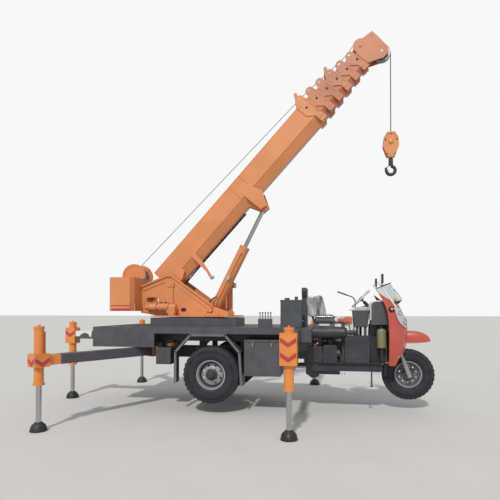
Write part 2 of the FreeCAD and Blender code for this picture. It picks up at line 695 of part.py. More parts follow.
def shell(rows, thickness):
    """A curved panel through rows of (half width, edge x, bulge, z)."""
    outer = [Part.Wire([arc_wire(h, x, b, z)]) for h, x, b, z in rows]
    inner = [Part.Wire([arc_wire(h - float(thickness), x - float(thickness) * 0.3,
                                 b - float(thickness) * 0.7, z)]) for h, x, b, z in rows]
    closed = []
    for out, back in zip(outer, inner):
        ends_out = out.Vertexes[0].Point, out.Vertexes[-1].Point
        ends_in = back.Vertexes[0].Point, back.Vertexes[-1].Point
        closed.append(Part.Wire([out.Edges[0], Part.makeLine(ends_out[1], ends_in[1]),
                                 back.Edges[0], Part.makeLine(ends_in[0], ends_out[0])]))
    return Part.makeLoft(closed, True, True)


# The headlamp's outline; columns: y, z and the way it grows for the hole in the cowl.
LAMP = [(225, 1268, -1, -1), (330, 1255, 0, -1.1), (404, 1298, 1, -1), (428, 1380, 1.1, 0),
        (424, 1470, 1.1, 0), (398, 1556, 1, 0.6), (362, 1590, 0.4, 1.2), (300, 1530, -0.8, 1),
        (243, 1410, -1.1, 0.4)]


def guard_loft(rows, inset):
    """A half-round guard lofted through rows of (x, z, half width, height), set in for its hollow."""
    wires = []
    for i, (x, z, half, tall) in enumerate(rows):
        if inset and i == len(rows) - 1:
            x -= inset
        half, tall = half - inset, tall - inset
        points = [at(x, half * math.cos(math.radians(a)), z - inset + tall * math.sin(math.radians(a)))
                  for a in range(0, 181, 18)]
        wires.append(Part.makePolygon(points + points[:1]))
    return shaped(Part.makeLoft(wires, True, True))


def make_cowl():
    half, x, bulge = float(S.cowl_half), float(cowl_edge_x), float(S.cowl_bulge)
    low, high = float(S.cowl_bottom), float(S.cowl_top)
    rows = [(half * 0.80, x + 10, bulge * 0.9, low), (half, x, bulge, low + 350),
            (half, x - 20, bulge, low + 700), (half * 0.85, x - 60, bulge * 0.8, high)]
    arch = rod(350, (x - 50, 0, low + 10), bulge + 200, "X")
    stays = [box((floor_front + 50 + S.slide_gap, cowl_edge_x + 8), pair(350, 366, side),
                 (S.floor_top - 10, S.floor_top + 10)) for _, side in SIDES]
    lens_rows = [(h + 12, e + 3.6, b + 8.4, z) for h, e, b, z in rows[1:]]
    lenses, holes = [], []
    for _, side in SIDES:
        for grow, row in ((0, lenses), (S.slide_gap, holes)):
            outline = [(side * (y + grow * across), z + grow * up) for y, z, across, up in LAMP]
            outline = outline if side > 0 else outline[::-1]
            row.append(slab("YZ", outline, x - 60, x + bulge + 100))
    node("cowl", cut(fuse(shaped(shell(rows, S.cowl_t)), *stays), arch, *holes))
    lamps = doc.addObject("Part::Common", label("lamps"))
    lamps.Base, lamps.Tool = shaped(shell(lens_rows, 24)), fuse(*lenses)
    glass = [(half * 0.85, x - 64, bulge * 0.8, high + 0.3),
             (half * 0.72, x - 300, bulge * 0.6, high + 270)]
    node("windscreen", shaped(shell(glass, 6)))
    tip = float(S.wheelbase) + 300
    rows = [(x + bulge - 80, 1085, 112, 64), (x + bulge + 60, 1090, 114, 68),
            (x + bulge + 190, 1070, 110, 64), (tip - 60, 1030, 100, 58), (tip, 1004, 86, 48),
            (tip + 26, 992, 62, 26)]
    guard = cut(guard_loft(rows, 0), guard_loft(rows, 6))
    radius = (half * half + bulge * bulge) / (2 * bulge)
    node("front_mudguard", cut(guard, rod(radius + S.slide_gap, (x + bulge - radius - 2.57, 0, 1000), 200)))
    node("headlamps", lamps)


def make_steering():
    rake = S.steer_rake
    length = S.head_tube_high - S.head_tube_low
    x, z = steer_point(0)
    crown_low = S.head_tube_low - S.slide_gap - 36
    shift = S.fork_offset
    legs = [fuse(rod(S.fork_leg_r, (shift, side * S.fork_half, 0), crown_low + 20),
                 rod(S.fork_leg_r + 8, (shift, side * S.fork_half, -36), 250),
                 rod(S.fork_leg_r + 11, (shift, side * S.fork_half, 196), 22)) for _, side in SIDES]
    crown = box((-45, shift + 40), (-S.fork_half - 30, S.fork_half + 30),
                (crown_low, S.head_tube_low - S.slide_gap))
    stem = rod(24 - S.run_gap, (0, 0, crown_low), S.head_tube_high - crown_low + 60)
    axle = rod(S.front_spindle_r, (shift, -S.fork_half - 20, 0), 2 * S.fork_half + 40, "Y")
    node("fork", fuse(*legs, crown, stem, axle), (x, 0, z), Y_AXIS, -rake)
    where = (S.wheelbase, 0, front_axle_z)
    node("front_tyre", turned(tyre_outline(S.front_tyre_r, S.front_tyre_w, S.front_rim_r)),
         where, X_AXIS, -90)
    node("front_rim", wheel_rim(S.front_rim_r, S.front_tyre_w, S.front_spindle_r + S.run_gap, 10, 14),
         where, X_AXIS, -90)
    hoop = doc.addObject("Part::Torus", label("hoop"))
    bind(hoop, Radius1=S.hand_wheel_r - 14, Radius2=14)
    spokes = [box((-S.hand_wheel_r + 20, S.hand_wheel_r - 20), (-14, 14), (-8, 8)),
              box((-14, 14), (-S.hand_wheel_r + 20, S.hand_wheel_r - 20), (-8, 8))]
    hub = rod(38, (0, 0, -30), 50)
    shaft = rod(14, (0, 0, -300), 290)
    stay_x = wheel_x + 90
    column = cut(fuse(place(rod(26, (0, 0, 0), 240), (wheel_x + 50, 0, S.wheel_z - 50), Y_AXIS,
                            180 - S.column_tilt),
                      box((stay_x - 15, stay_x + 15), (-15, 15), (S.dash_top, S.wheel_z - 90))),
                 place(rod(14 + S.run_gap, (0, 0, 0), 400), (wheel_x, 0, S.wheel_z), Y_AXIS,
                       180 - S.column_tilt))
    node("steering_column", column)
    node("steering_wheel", fuse(hoop, *spokes, hub, shaft), (wheel_x, 0, S.wheel_z),
         Y_AXIS, -S.column_tilt)


def make_turret():
    low = S.ring_top + S.slide_gap
    top = low + S.turret_t
    plate = slab("XY", [(S.base_back, -430), (S.base_front - 120, -400), (S.base_front, -260),
                        (S.base_front, 260), (S.base_front - 120, 400), (S.base_back, 430)],
                 low, top)
    node("turret_plate", plate)
    back = S.weight_front
    cheek = [(back, top + 40), (S.base_back, top), (S.base_front - 150, top),
             (S.base_front - 150, S.foot_z - 20), (S.foot_x + 50, S.foot_z + 65),
             (S.pivot_x + 30, S.pivot_z + 145), (S.pivot_x - 40, S.pivot_z + 145),
             (back, S.weight_top - 130)]
    pieces, y_in, y_out = [], S.cheek_y, S.cheek_y + S.cheek_t
    edge = [(back + 2, S.weight_top - 130), (S.pivot_x - 40, S.pivot_z + 145),
            (S.pivot_x + 30, S.pivot_z + 145), (S.foot_x + 50, S.foot_z + 65)]
    for _, side in SIDES:
        y = pair(y_in, y_out, side)
        window = fuse(box((-1215, -1080), (y[0] - 1, y[1] + 1), (1633, 1711)),
                      *[rod(39, (end, y[0] - 1, 1672), S.cheek_t + 2, "Y") for end in (-1215, -1080)])
        pieces.append(cut(slab("XZ", cheek, y[0], y[1]), window))
        y = pair(y_out - 2, y_out + 12, side)
        pieces.append(slab("XZ", ribbon(edge, 82), y[0], y[1]))
        y = pair(y_out, y_out + 30, side)
        pieces.append(rod(75, (S.pivot_x, y[0], S.pivot_z), 30, "Y"))
        pieces.append(box((S.pivot_x - 60, S.pivot_x + 60), y, (top + 6, S.pivot_z)))
    pieces.append(rod(S.pivot_r, (S.pivot_x, -y_out - 45, S.pivot_z), 2 * (y_out + 45), "Y"))
    pieces.append(rod(S.foot_r, (S.foot_x, -y_out - 20, S.foot_z), 2 * (y_out + 20), "Y"))
    pieces.append(box((back, back + 20), (-y_out, y_out), (top + 60, S.pivot_z - 230)))
    pieces.append(box((back, back + 20), (-S.weight_half + 60, S.weight_half - 60),
                      (S.weight_bottom, S.weight_bottom + 120)))
    pieces.append(box((S.base_front - 170, S.base_front - 150), (-y_in, y_in), (top + 6, S.foot_z - 40)))
    node("turret_frame", fuse(*pieces))
    near, far = y_out + 14 + S.slide_gap, y_out + 70
    panel = fuse(box((-30, 70), (near, far), (top + S.slide_gap, 1900)),
                 slab("XZ", [(-50, 1880), (110, 1880), (110, 1960), (-50, 2040)], near, far + 90),
                 *[rod(7, (x, far + 20, 1930), 150) for x in (-20, 10, 40, 70)],
                 *[ball(13, (x, far + 20, 2080)) for x in (-20, 10, 40, 70)])
    node("control_panel", panel)
    y, z = -318, 1550
    motor = fuse(rod(44, (-1206, y, z), 80, "X"), rod(60, (-1150, y, z), 120, "X"),
                 rod(47, (-1040, y, z), 80, "X"), rod(62, (-980, y, z), 150, "X"),
                 rod(50, (-840, y, z), 130, "X"), rod(60, (-780, y, top), 90),
                 box((-850, -715), (y - 50, y + 50), (top + 40, z)))
    node("slew_drive", motor)


def make_counterweight():
    bevel = 80
    back, front, half = S.weight_back, S.weight_front, S.weight_half
    mass = slab("XY", [(back, -half + bevel), (back + bevel, -half), (front - 45, -half),
                       (front, -half + 80), (front, half - 80), (front - 45, half),
                       (back + bevel, half), (back, half - bevel)],
                S.weight_bottom, S.weight_top)
    room = S.drum_flange_r + 10
    well = box((S.winch_x - room, S.winch_x + room), (-S.drum_half - 6, S.drum_half + 6),
               (S.winch_z - room, S.weight_top + 10))
    node("counterweight", cut(mass, well))
    cheeks = []
    reach = S.winch_cover_r
    for _, side in SIDES:
        y = pair(S.drum_half + 12, S.drum_half + 24, side)
        cheeks.append(rod(reach, (S.winch_x, y[0], S.winch_z), 12, "Y"))
        y = pair(S.drum_half + 22, S.drum_half + 31, side)
        cheeks.append(cut(rod(reach - 20, (S.winch_x, y[0], S.winch_z), 9, "Y"),
                          rod(reach - 34, (S.winch_x, y[0] - 1, S.winch_z), 11, "Y")))
        cheeks.append(rod(95, (S.winch_x, y[0], S.winch_z), 9, "Y"))
        y = pair(S.drum_half + 22, S.drum_half + (44 if side < 0 else 150), side)
        cheeks.append(rod(36, (S.winch_x, y[0], S.winch_z), y[1] - y[0], "Y"))
    below = box((S.winch_x - reach - 5, S.winch_x + reach + 5), (-S.drum_half - 50, S.drum_half + 160),
                (S.winch_z - reach - 10, S.weight_top))
    tie = rod(14, (S.winch_x - 170, -S.drum_half - 14, S.winch_z + 20), 2 * S.drum_half + 28, "Y")
    housing = cut(fuse(*cheeks, tie), below,
                  rod(25 + S.run_gap, (S.winch_x, -S.drum_half - 30, S.winch_z),
                      2 * S.drum_half + 60, "Y"))
    node("winch_frame", housing)
    rim, half = S.drum_flange_r, S.drum_half
    drum = turned([(0, -half - 20), (25, -half - 20), (25, -half), (rim, -half), (rim, -half + 10),
                   (S.drum_r - 20, -half + 10), (S.drum_r - 20, half - 10), (rim, half - 10),
                   (rim, half), (25, half), (25, half + 20), (0, half + 20)])
    node("winch_drum", drum, (S.winch_x, 0, S.winch_z), X_AXIS, -90)


def section_outline(k, inset, margin=0):
    """The hull of boom section k set in by its plate: flat top, upright sides, tapered bottom."""
    half = S.boom_w / 2 - k * S.boom_step / 2 - inset + margin
    low = k * S.boom_rise - S.boom_below + inset - margin
    high = S.boom_h - S.boom_below - k * S.boom_fall - inset + margin
    bend = low + (high - low) * 0.3
    return [(-half, high), (-half, bend), (-half * 0.5, low), (half * 0.5, low), (half, bend),
            (half, high)]


def boom_collar(k, end, low, high, half):
    """The stiff end of a section with its ears, wear pads and, on two sections, a rope roller."""
    t, top = S.collar_t, high + S.collar_t
    side = [(end - S.collar_len, top), (end, top), (end, low - t), (end - 105, low - t),
            (end - 105, low + 122), (end - S.collar_len, low + 227)]
    collar = slab("XZ", side, -half - t, half + t)
    opening = slab("YZ", section_outline(k, 0), end - 400, end + 1)
    pieces = [cut(collar, opening)]
    for y in (-half - t, half + t - 10):
        plate = [(end - 150, top - 5), (end - 6, top - 5), (end - 6, top + 55), (end - 30, top + 92),
                 (end - 75, top + 104), (end - 120, top + 92), (end - 146, top + 55)]
        pieces.append(cut(slab("XZ", plate, y, y + 10), rod(18, (end - 75, y - 1, top + 58), 12, "Y")))
        if k in (0, 3):
            horn = [(end - 196, top - 5), (end - 100, top - 5), (end - 34, top + 150),
                    (end - 46, top + 172), (end - 74, top + 172)]
            pieces.append(slab("XZ", horn, y, y + 10))
    if k in (0, 3):
        pieces.append(rod(26, (end - 62, -half - t, top + 138), 2 * (half + t), "Y"))
    pads_out = slab("YZ", section_outline(k, S.boom_wall, 1), end - 120, end)
    pads_in = slab("YZ", section_outline(k + 1, 0, S.slide_gap), end - 121, end + 1)
    return pieces + [cut(pads_out, pads_in)]


def eye_bracket(half):
    """Plates under the first section that hold the lift cylinder's rod pin."""
    tip, low_n = S.eye_s, -S.eye_below
    hose_arm = [(560, 100), (640, 100), (640, -70), (590, -300), (545, -445), (505, -440), (548, -290),
                (560, -70)]
    pieces = [slab("XZ", hose_arm, -half - 8, -half + 4),
              rod(14, (545, -half - 8, -420), 60, "Y")]
    for _, flank in SIDES:
        y = pair(half, half + 10, flank)
        pieces.append(slab("XZ", [(tip + 50, 291), (tip + 173, -91), (tip + 52, low_n - 47),
                                  (tip - 60, low_n - 12), (tip - 75, -73), (tip - 80, 170)],
                           y[0], y[1]))
        inner = pair(62, 80, flank)
        pieces.append(slab("XZ", [(tip + 150, -S.boom_below + 4), (tip + 60, low_n - 50),
                                  (tip - 60, low_n - 50), (tip - 150, -S.boom_below + 4)],
                           inner[0], inner[1]))
    return pieces


def make_boom():
    for k in range(7):
        half = S.boom_w / 2 - k * S.boom_step / 2
        low = k * S.boom_rise - S.boom_below
        high = S.boom_h - S.boom_below - k * S.boom_fall
        start = -60 if k == 0 else 150 + 25 * k
        end = S.boom_len + k * S.collar_pitch
        hull = slab("YZ", section_outline(k, 0), start, end)
        hollow = slab("YZ", section_outline(k, S.boom_wall), start - 1, end + 1)
        pieces = [cut(hull, hollow)]
        if k < 6:
            pieces += boom_collar(k, end, low, high, half)
        if k == 0:
            pieces += eye_bracket(half)
            side = S.cheek_y - S.slide_gap
            pieces.append(rod(66, (0, -side, 0), 2 * side, "Y"))
        section = fuse(*pieces)
        if k == 0:
            section = cut(section, rod(S.pivot_r + S.run_gap, (0, -300, 0), 600, "Y"))
        if k == 6:
            section = boom_head(section, end, low, high, half)
        node(f"boom_{k + 1}", section, (S.pivot_x, 0, S.pivot_z), Y_AXIS, -S.boom_angle)


def boom_head(section, end, low, high, half):
    """The head: two cheeks that carry the upper sheave, a front roller and the hoist sheaves."""
    nose, down = S.nose_s, -S.nose_below
    back, up = end - 185, S.head_up
    cheeks = []
    for _, flank in SIDES:
        y = pair(half, half + 12, flank)
        cheeks.append(slab("XZ", [(back, high + 12), (back, low + 20), (nose - 130, down - 40),
                                  (nose - 60, down - 90), (nose + 40, down - 95),
                                  (nose + 105, down - 30), (S.head_s + 265, up - 120),
                                  (S.head_s + 272, up + 10), (S.head_s + 190, up + 30),
                                  (S.head_s + 60, up + 60), (S.head_s - 60, up + 60)], y[0], y[1]))
        cheeks.append(rod(S.sheave_r, (S.head_s, y[0], up), 12, "Y"))
        cheeks.append(rod(45, (nose, y[0], down), 12, "Y"))
    pins = [rod(22, (S.head_s, -half - 24, up), 2 * half + 48, "Y"),
            rod(14, (S.head_s + 226, -half - 18, up - 27), 2 * half + 36, "Y")]
    cap = box((end - 6, end), (-half, half), (low + 20, high))
    upper = rod(S.sheave_r - 8, (S.head_s, -half + 10, up), 2 * half - 20, "Y")
    groove = cut(rod(S.sheave_r + 4, (S.head_s, -22, up), 44, "Y"),
                 rod(S.sheave_r - 24, (S.head_s, -23, up), 46, "Y"))
    roller = rod(58, (S.head_s + 226, -30, up - 27), 60, "Y")
    bore = rod(20 + S.run_gap, (nose, -half - 60, down), 2 * half + 120, "Y")
    room = rod(S.nose_r + 8, (nose, -46, down), 92, "Y")
    return cut(fuse(section, *cheeks, *pins, cap, cut(upper, groove), roller), bore, room)


def boom_point(along, up):
    """A point of the boom's own frame, in the crane's frame at rest."""
    x = S.pivot_x + along * cosine(S.boom_angle) - up * sine(S.boom_angle)
    z = S.pivot_z + along * sine(S.boom_angle) + up * cosine(S.boom_angle)
    return x, z


def make_hook():
    x, z = boom_point(S.nose_s, -S.nose_below)
    half = S.boom_w / 2 - 3 * S.boom_step
    r = S.nose_r
    sheaves = []
    for y in (-40, 0):
        wheel = turned([(0, y + 2), (r, y + 2), (r - 16, y + 16), (r - 16, y + 24), (r, y + 38),
                        (r - 30, y + 38), (r - 40, y + 30), (60, y + 30), (50, y + 38), (0, y + 38)])
        sheaves.append(place(wheel, (0, 0, 0), X_AXIS, -90))
    pin = rod(20, (0, -half - 16, 0), 2 * half + 32, "Y")
    node("hoist_sheaves", fuse(*sheaves, pin), (x, 0, z))
    hang = r
    block_z = z - S.hook_drop
    br = S.block_r
    cheeks = []
    for _, side in SIDES:
        y = pair(44, 54, side)
        cheeks.append(slab("XZ", [(-110, 60), (-60, 150), (60, 150), (110, 60), (120, -60),
                                  (60, -220), (-60, -220), (-120, -60)], y[0], y[1]))
    wheel = rod(br - 20, (0, -40, 0), 80, "Y")
    axle = rod(24, (0, -66, 0), 132, "Y")
    cross = cut(rod(46, (0, -54, -190), 108, "Y"), rod(20 + S.run_gap, (0, 0, -250), 120))
    node("hook_block", fuse(*cheeks, wheel, axle, cross), (x + hang, 0, block_z))
    bowl = doc.addObject("Part::Torus", label("bowl"))
    bind(bowl, Radius1=64, Radius2=25, Angle3=270)
    place(bowl, (0, 0, -430), Vector(1, 1, 1), -120)
    tip = place(cone(25, 15, (0, 0, 0), 48), (-64, 0, -430), Y_AXIS, -14)
    latch = slab("XZ", [(-10, -346), (-74, -384), (-71, -390), (-10, -355)], -11, 11)
    shank = rod(20, (0, 0, -310), 170)
    nut = rod(32, (0, 0, -143.7), 20)
    collar = rod(34, (0, 0, -350), 102)
    node("hook", fuse(shank, nut, collar, bowl, tip, latch), (x + hang, 0, block_z))


def make_lift_cylinder():
    ex, ez = boom_point(S.eye_s, -S.eye_below)
    across, up = ex - S.foot_x, ez - S.foot_z
    lean = lean_of(across, up)
    r, length = S.barrel_r, S.barrel_len
    barrel = cut(fuse(rod(r, (0, 0, 90), length - 90), rod(70, (0, -60, 0), 120, "Y"),
                      box((-60, 60), (-60, 60), (0, 95))),
                 rod(r - 14, (0, 0, 110), length),
                 rod(S.foot_r + S.run_gap, (0, -70, 0), 140, "Y"))
    gland = rod(r + 2, (0, 0, length - 50), 50)
    pipe = rod(12, (0, -r - 11, 140), length - 240)
    barrel = cut(fuse(barrel, gland, pipe), rod(S.rod_r + S.run_gap, (0, 0, length - 60), 80))
    node("lift_barrel", barrel, (S.foot_x, 0, S.foot_z), Y_AXIS, lean)
    eye = distance(across, up)
    stem = fuse(rod(S.rod_r, (0, 0, 740), eye - 780), rod(44, (0, -61, eye), 122, "Y"))
    node("lift_rod", cut(stem, rod(S.eye_r - 4, (0, -70, eye), 140, "Y")),
         (S.foot_x, 0, S.foot_z), Y_AXIS, lean)


def jack_tube(sleeve_low, sleeve_high, half):
    """An outrigger's jack tube with its sleeve, round the origin's vertical."""
    r, low, high = S.jack_r, S.jack_bottom, S.jack_top
    tube = fuse(rod(r, (0, 0, low), high - low), rod(r + 12, (0, 0, low), 24),
                rod(r + 5, (0, 0, high - 30), 30), rod(16, (0, 0, high - 2), 24),
                rod(r + 5, (0, 0, low + 214), 20),
                box((-half, half), (-half, half), (sleeve_low, sleeve_high)))
    bore = rod(r - 10, (0, 0, low + 40), high - low - 50)
    return tube, bore, rod(S.jack_rod_r + S.run_gap, (0, 0, low - 1), 60)


def make_leg(name, where):
    """The jack's rod with its foot on the ground."""
    r = S.jack_foot_r
    rod_top = S.jack_bottom + 220
    dome = turned([(0, 0), (r, 0), (r, 20), (r - 3, 26), (r * 0.94, 50), (r * 0.78, 78), (r * 0.5, 100),
                   (S.jack_rod_r + 6, 112), (0, 112)])
    foot = fuse(dome,
                rod(S.jack_rod_r, (0, 0, 60), rod_top - 60))
    node(name, foot, where)


def make_outriggers():
    for name, side in SIDES:
        x = leg_front_x + (S.beam_pitch if side > 0 else 0)
        reach_y = S.leg_near_y if side < 0 else S.leg_far_y
        y = side * reach_y
        z = (S.beam_top - S.beam_h, S.beam_top)
        half = S.beam_w / 2
        tube, bore, gland = jack_tube(864, S.beam_top, 100)
        inner = S.deck_half - 500
        beam = box((-half, half), pair(inner - reach_y, -60, side), z)
        node(f"front_beam_{name}", cut(fuse(tube, beam), bore, gland), (x, y, 0))
        make_leg(f"front_leg_{name}", (x, y, 0))
        angle = S.arm_near_angle if side < 0 else S.arm_far_angle
        low, high = S.arm_top - S.arm_h, S.arm_top
        tube, bore, gland = jack_tube(low - 15, high + 20, 95)
        half = S.arm_w / 2
        reach = box((60, S.arm_len), (-half, half), (low, high))
        end = rod(half, (S.arm_len, 0, low), high - low)
        arm = cut(fuse(tube, reach, end), bore, gland,
                  rod(S.arm_pin_r + S.run_gap, (S.arm_len, 0, low - 1), S.arm_h + 2))
        jx = S.arm_pivot_x - S.arm_len * cosine(angle)
        jy = side * (S.arm_pivot_y + S.arm_len * sine(angle))
        node(f"rear_arm_{name}", arm, (jx, jy, 0), Z_AXIS, -side * angle)
        make_leg(f"rear_leg_{name}", (jx, jy, 0))
    half = S.tail_beam_h / 2
    z = (S.tail_beam_top - S.tail_beam_h, S.tail_beam_top)
    tube, bore, gland = jack_tube(940, 1205, 85)
    beam = box((50, 1050), (-half, half), z)
    node("tail_beam", cut(fuse(tube, beam), bore, gland), (S.tail_x, 0, 0))
    make_leg("tail_leg", (S.tail_x, 0, 0))


make_frame()
make_deck()
make_turntable_base()
make_rear_axle()
make_rear_wheels()
make_fenders()
make_boxes()
make_engine()
make_front_box()
make_cab()
make_cowl()
make_steering()
make_turret()
make_counterweight()
make_boom()
make_hook()
make_lift_cylinder()
make_outriggers()

doc.recompute()
faults = [o.Label for o in doc.Objects if {"Invalid", "Error"} & set(o.State)]
for name, piece in nodes.items():
    if piece.Shape.isNull() or not piece.Shape.isValid() or not piece.Shape.Solids:
        faults.append(name)
if faults:
    raise SystemExit("failed: " + ", ".join(faults))
os.makedirs("parts", exist_ok=True)
for name, piece in nodes.items():
    piece.Shape.exportStep(f"parts/{name}.step")
print(len(nodes), "nodes written")
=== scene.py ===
import bmesh
import bpy
import json
import math
from mathutils import Matrix, Vector


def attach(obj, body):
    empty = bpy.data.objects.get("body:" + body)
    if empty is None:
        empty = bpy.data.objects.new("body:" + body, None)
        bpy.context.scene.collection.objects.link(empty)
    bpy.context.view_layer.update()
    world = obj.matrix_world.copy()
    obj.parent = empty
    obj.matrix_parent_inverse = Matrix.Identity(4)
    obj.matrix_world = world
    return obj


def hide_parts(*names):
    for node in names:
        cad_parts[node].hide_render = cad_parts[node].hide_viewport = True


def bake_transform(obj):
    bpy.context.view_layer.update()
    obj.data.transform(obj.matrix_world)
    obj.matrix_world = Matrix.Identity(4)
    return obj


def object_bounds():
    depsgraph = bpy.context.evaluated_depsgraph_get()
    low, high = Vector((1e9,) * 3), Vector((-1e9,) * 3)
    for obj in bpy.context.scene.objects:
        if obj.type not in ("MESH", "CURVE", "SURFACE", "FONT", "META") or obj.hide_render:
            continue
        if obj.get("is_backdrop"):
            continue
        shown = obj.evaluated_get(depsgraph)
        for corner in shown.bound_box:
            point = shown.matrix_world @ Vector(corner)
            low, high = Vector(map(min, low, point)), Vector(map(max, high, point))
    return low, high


# Dresses the three-wheeled truck crane: paint, tread, ropes, hoses, seat, engine dress and trim.
# Metres, in the frame of the CAD. AX is the place of the rear axle along X.
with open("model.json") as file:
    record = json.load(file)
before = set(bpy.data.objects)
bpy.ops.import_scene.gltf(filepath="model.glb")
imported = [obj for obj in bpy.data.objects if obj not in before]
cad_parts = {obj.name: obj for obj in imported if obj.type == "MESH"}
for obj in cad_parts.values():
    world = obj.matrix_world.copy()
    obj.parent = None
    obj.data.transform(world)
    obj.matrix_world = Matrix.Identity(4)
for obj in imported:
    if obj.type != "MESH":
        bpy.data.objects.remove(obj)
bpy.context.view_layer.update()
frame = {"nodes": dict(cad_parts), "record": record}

AX = -0.22
# Places in the side view are X from the rear axle and Z; HEAD, NOSE and EYE are in the boom's frame.
PIVOT = (-0.85, 1.915)
FOOT = (-0.18, 1.5)
BOOM_ANGLE = math.radians(47.3)
BOOM_LEN, PITCH = 3.59, 0.2
BOOM_TOP, BOOM_LOW, BOOM_HALF = 0.355, -0.075, 0.15
# From one boom section to the next: the top falls, the underside rises and the half width steps in.
FALL, RISE, STEP = 0.024, 0.01, 0.014
COLLAR = 0.012
HEAD, NOSE, NOSE_R = (4.736, 0.274), (4.869, -0.04), 0.135
EYE = (1.924, -0.27)
WINCH = (-1.5, 2.06)
DECK_TOP, DECK_BACK = 1.25, -1.85
FRONT_NEAR, FRONT_FAR = (1.23, -1.85), (1.37, 2.02)
ARM_PIVOT, ARM_LEN = (-1.05, 0.45), 1.75
ARM_ANGLE = {"near": math.radians(61.74), "far": math.radians(48.0)}
TAIL_X = -2.69
WHEELBASE = 2.85
REAR_Z, FRONT_Z = 0.57, 0.538
# A tyre's radius, width and the radius of its rim.
REAR_TYRE, FRONT_TYRE = (0.41, 0.215, 0.215), (0.378, 0.175, 0.205)
# The slew drive's middle, counted as Y and Z.
DRIVE_Y, DRIVE_Z = -0.318, 1.55
# The air cleaner's middle, counted as Y and Z.
CLEANER = (-0.4, 1.175)
# The camera's focal length and the photograph's width in pixels, and the sensor's width in mm.
FOCAL, PHOTO, SENSOR = 437.3, 500, 36


def spot(x, y, z):
    """A place counted from the rear axle."""
    return Vector((x + AX, y, z))


HOME = Matrix.Translation((AX, 0, 0))
BOOM = Matrix.Translation(spot(PIVOT[0], 0, PIVOT[1])) @ Matrix.Rotation(-BOOM_ANGLE, 4, "Y")
eye_at = BOOM @ Vector((EYE[0], 0, EYE[1]))
foot_at = spot(FOOT[0], 0, FOOT[1])
LIFT_LEAN = math.atan2(eye_at.x - foot_at.x, eye_at.z - foot_at.z)
LIFT = Matrix.Translation(foot_at) @ Matrix.Rotation(LIFT_LEAN, 4, "Y")
nose_at = BOOM @ Vector((NOSE[0], 0, NOSE[1]))
block_at = nose_at + Vector((NOSE_R, 0, -1.39))


# Finishes

def add_node(tree, kind, inputs, **settings):
    """A shader node with its settings; each input is a value or a socket to link from."""
    node = tree.nodes.new("ShaderNode" + kind)
    for key, value in settings.items():
        setattr(node, key, value)
    for key, value in inputs.items():
        if isinstance(value, bpy.types.NodeSocket):
            tree.links.new(value, node.inputs[key])
        else:
            node.inputs[key].default_value = value
    return node


def finish(name, colour, rough=0.4, metal=0.0, coat=0.0, tint=0.12, scale=2.5, dust=0.25,
           dust_colour=(0.55, 0.5, 0.43), grain=60.0, bump=0.05, chips=0.0, alpha=1.0,
           bare=(0.3, 0.27, 0.25), stretch=None):
    """A weathered finish: broad colour change, fine grain, dust on upward faces, chipped paint."""
    mat = bpy.data.materials.new(name)
    mat.use_nodes = True
    tree = mat.node_tree
    shader = tree.nodes["Principled BSDF"]
    fixed = {"Metallic": metal, "Coat Weight": coat, "Coat Roughness": 0.12, "Alpha": alpha}
    for key, value in fixed.items():
        shader.inputs[key].default_value = value

    def noise(scale, detail, vector, **more):
        inputs = {"Scale": scale, "Detail": detail, "Vector": vector}
        inputs.update(more)
        return add_node(tree, "TexNoise", inputs).outputs["Fac"]

    def spread(low, high, value, to_low=0.0, to_high=1.0):
        return add_node(tree, "MapRange", {"From Min": low, "From Max": high, "To Min": to_low,
                                           "To Max": to_high, "Value": value}).outputs["Result"]

    def mix(a, b, share):
        return add_node(tree, "Mix", {"A": a, "B": b, "Factor": share}, data_type="RGBA").outputs["Result"]

    where = add_node(tree, "TexCoord", {}).outputs["Object"]
    longer = where
    if stretch:
        longer = add_node(tree, "Mapping", {"Scale": stretch, "Vector": where}).outputs["Vector"]
    broad = noise(scale, 6, longer)
    dark = tuple(c * (1 - tint) for c in colour) + (1,)
    light = tuple(min(c * (1 + tint * 0.6), 1) for c in colour) + (1,)
    out = mix(dark, light, spread(0.3, 0.7, broad))
    fine = noise(grain, 4, where)
    if chips > 0:
        out = mix(out, tuple(bare) + (1,), spread(0.76 - chips * 0.1, 0.78, fine))
    if dust > 0:
        normal = add_node(tree, "NewGeometry", {}).outputs["Normal"]
        split = add_node(tree, "SeparateXYZ", {"Vector": normal})
        upward = spread(-0.4, 1.0, split.outputs["Z"], to_low=0.25)
        patch = noise(scale * 2.2, 8, where, Roughness=0.65)
        amount = add_node(tree, "Math", {0: upward, 1: spread(0.35, 0.75, patch, to_high=dust)},
                          operation="MULTIPLY")
        out = mix(out, tuple(dust_colour) + (1,), amount.outputs["Value"])
    tree.links.new(out, shader.inputs["Base Color"])
    shine = spread(0.3, 0.7, broad, max(rough - 0.08, 0.03), min(rough + 0.12, 1))
    tree.links.new(shine, shader.inputs["Roughness"])
    if bump > 0:
        relief = add_node(tree, "Bump", {"Strength": bump, "Distance": 0.002, "Height": fine})
        tree.links.new(relief.outputs["Normal"], shader.inputs["Normal"])
    return mat


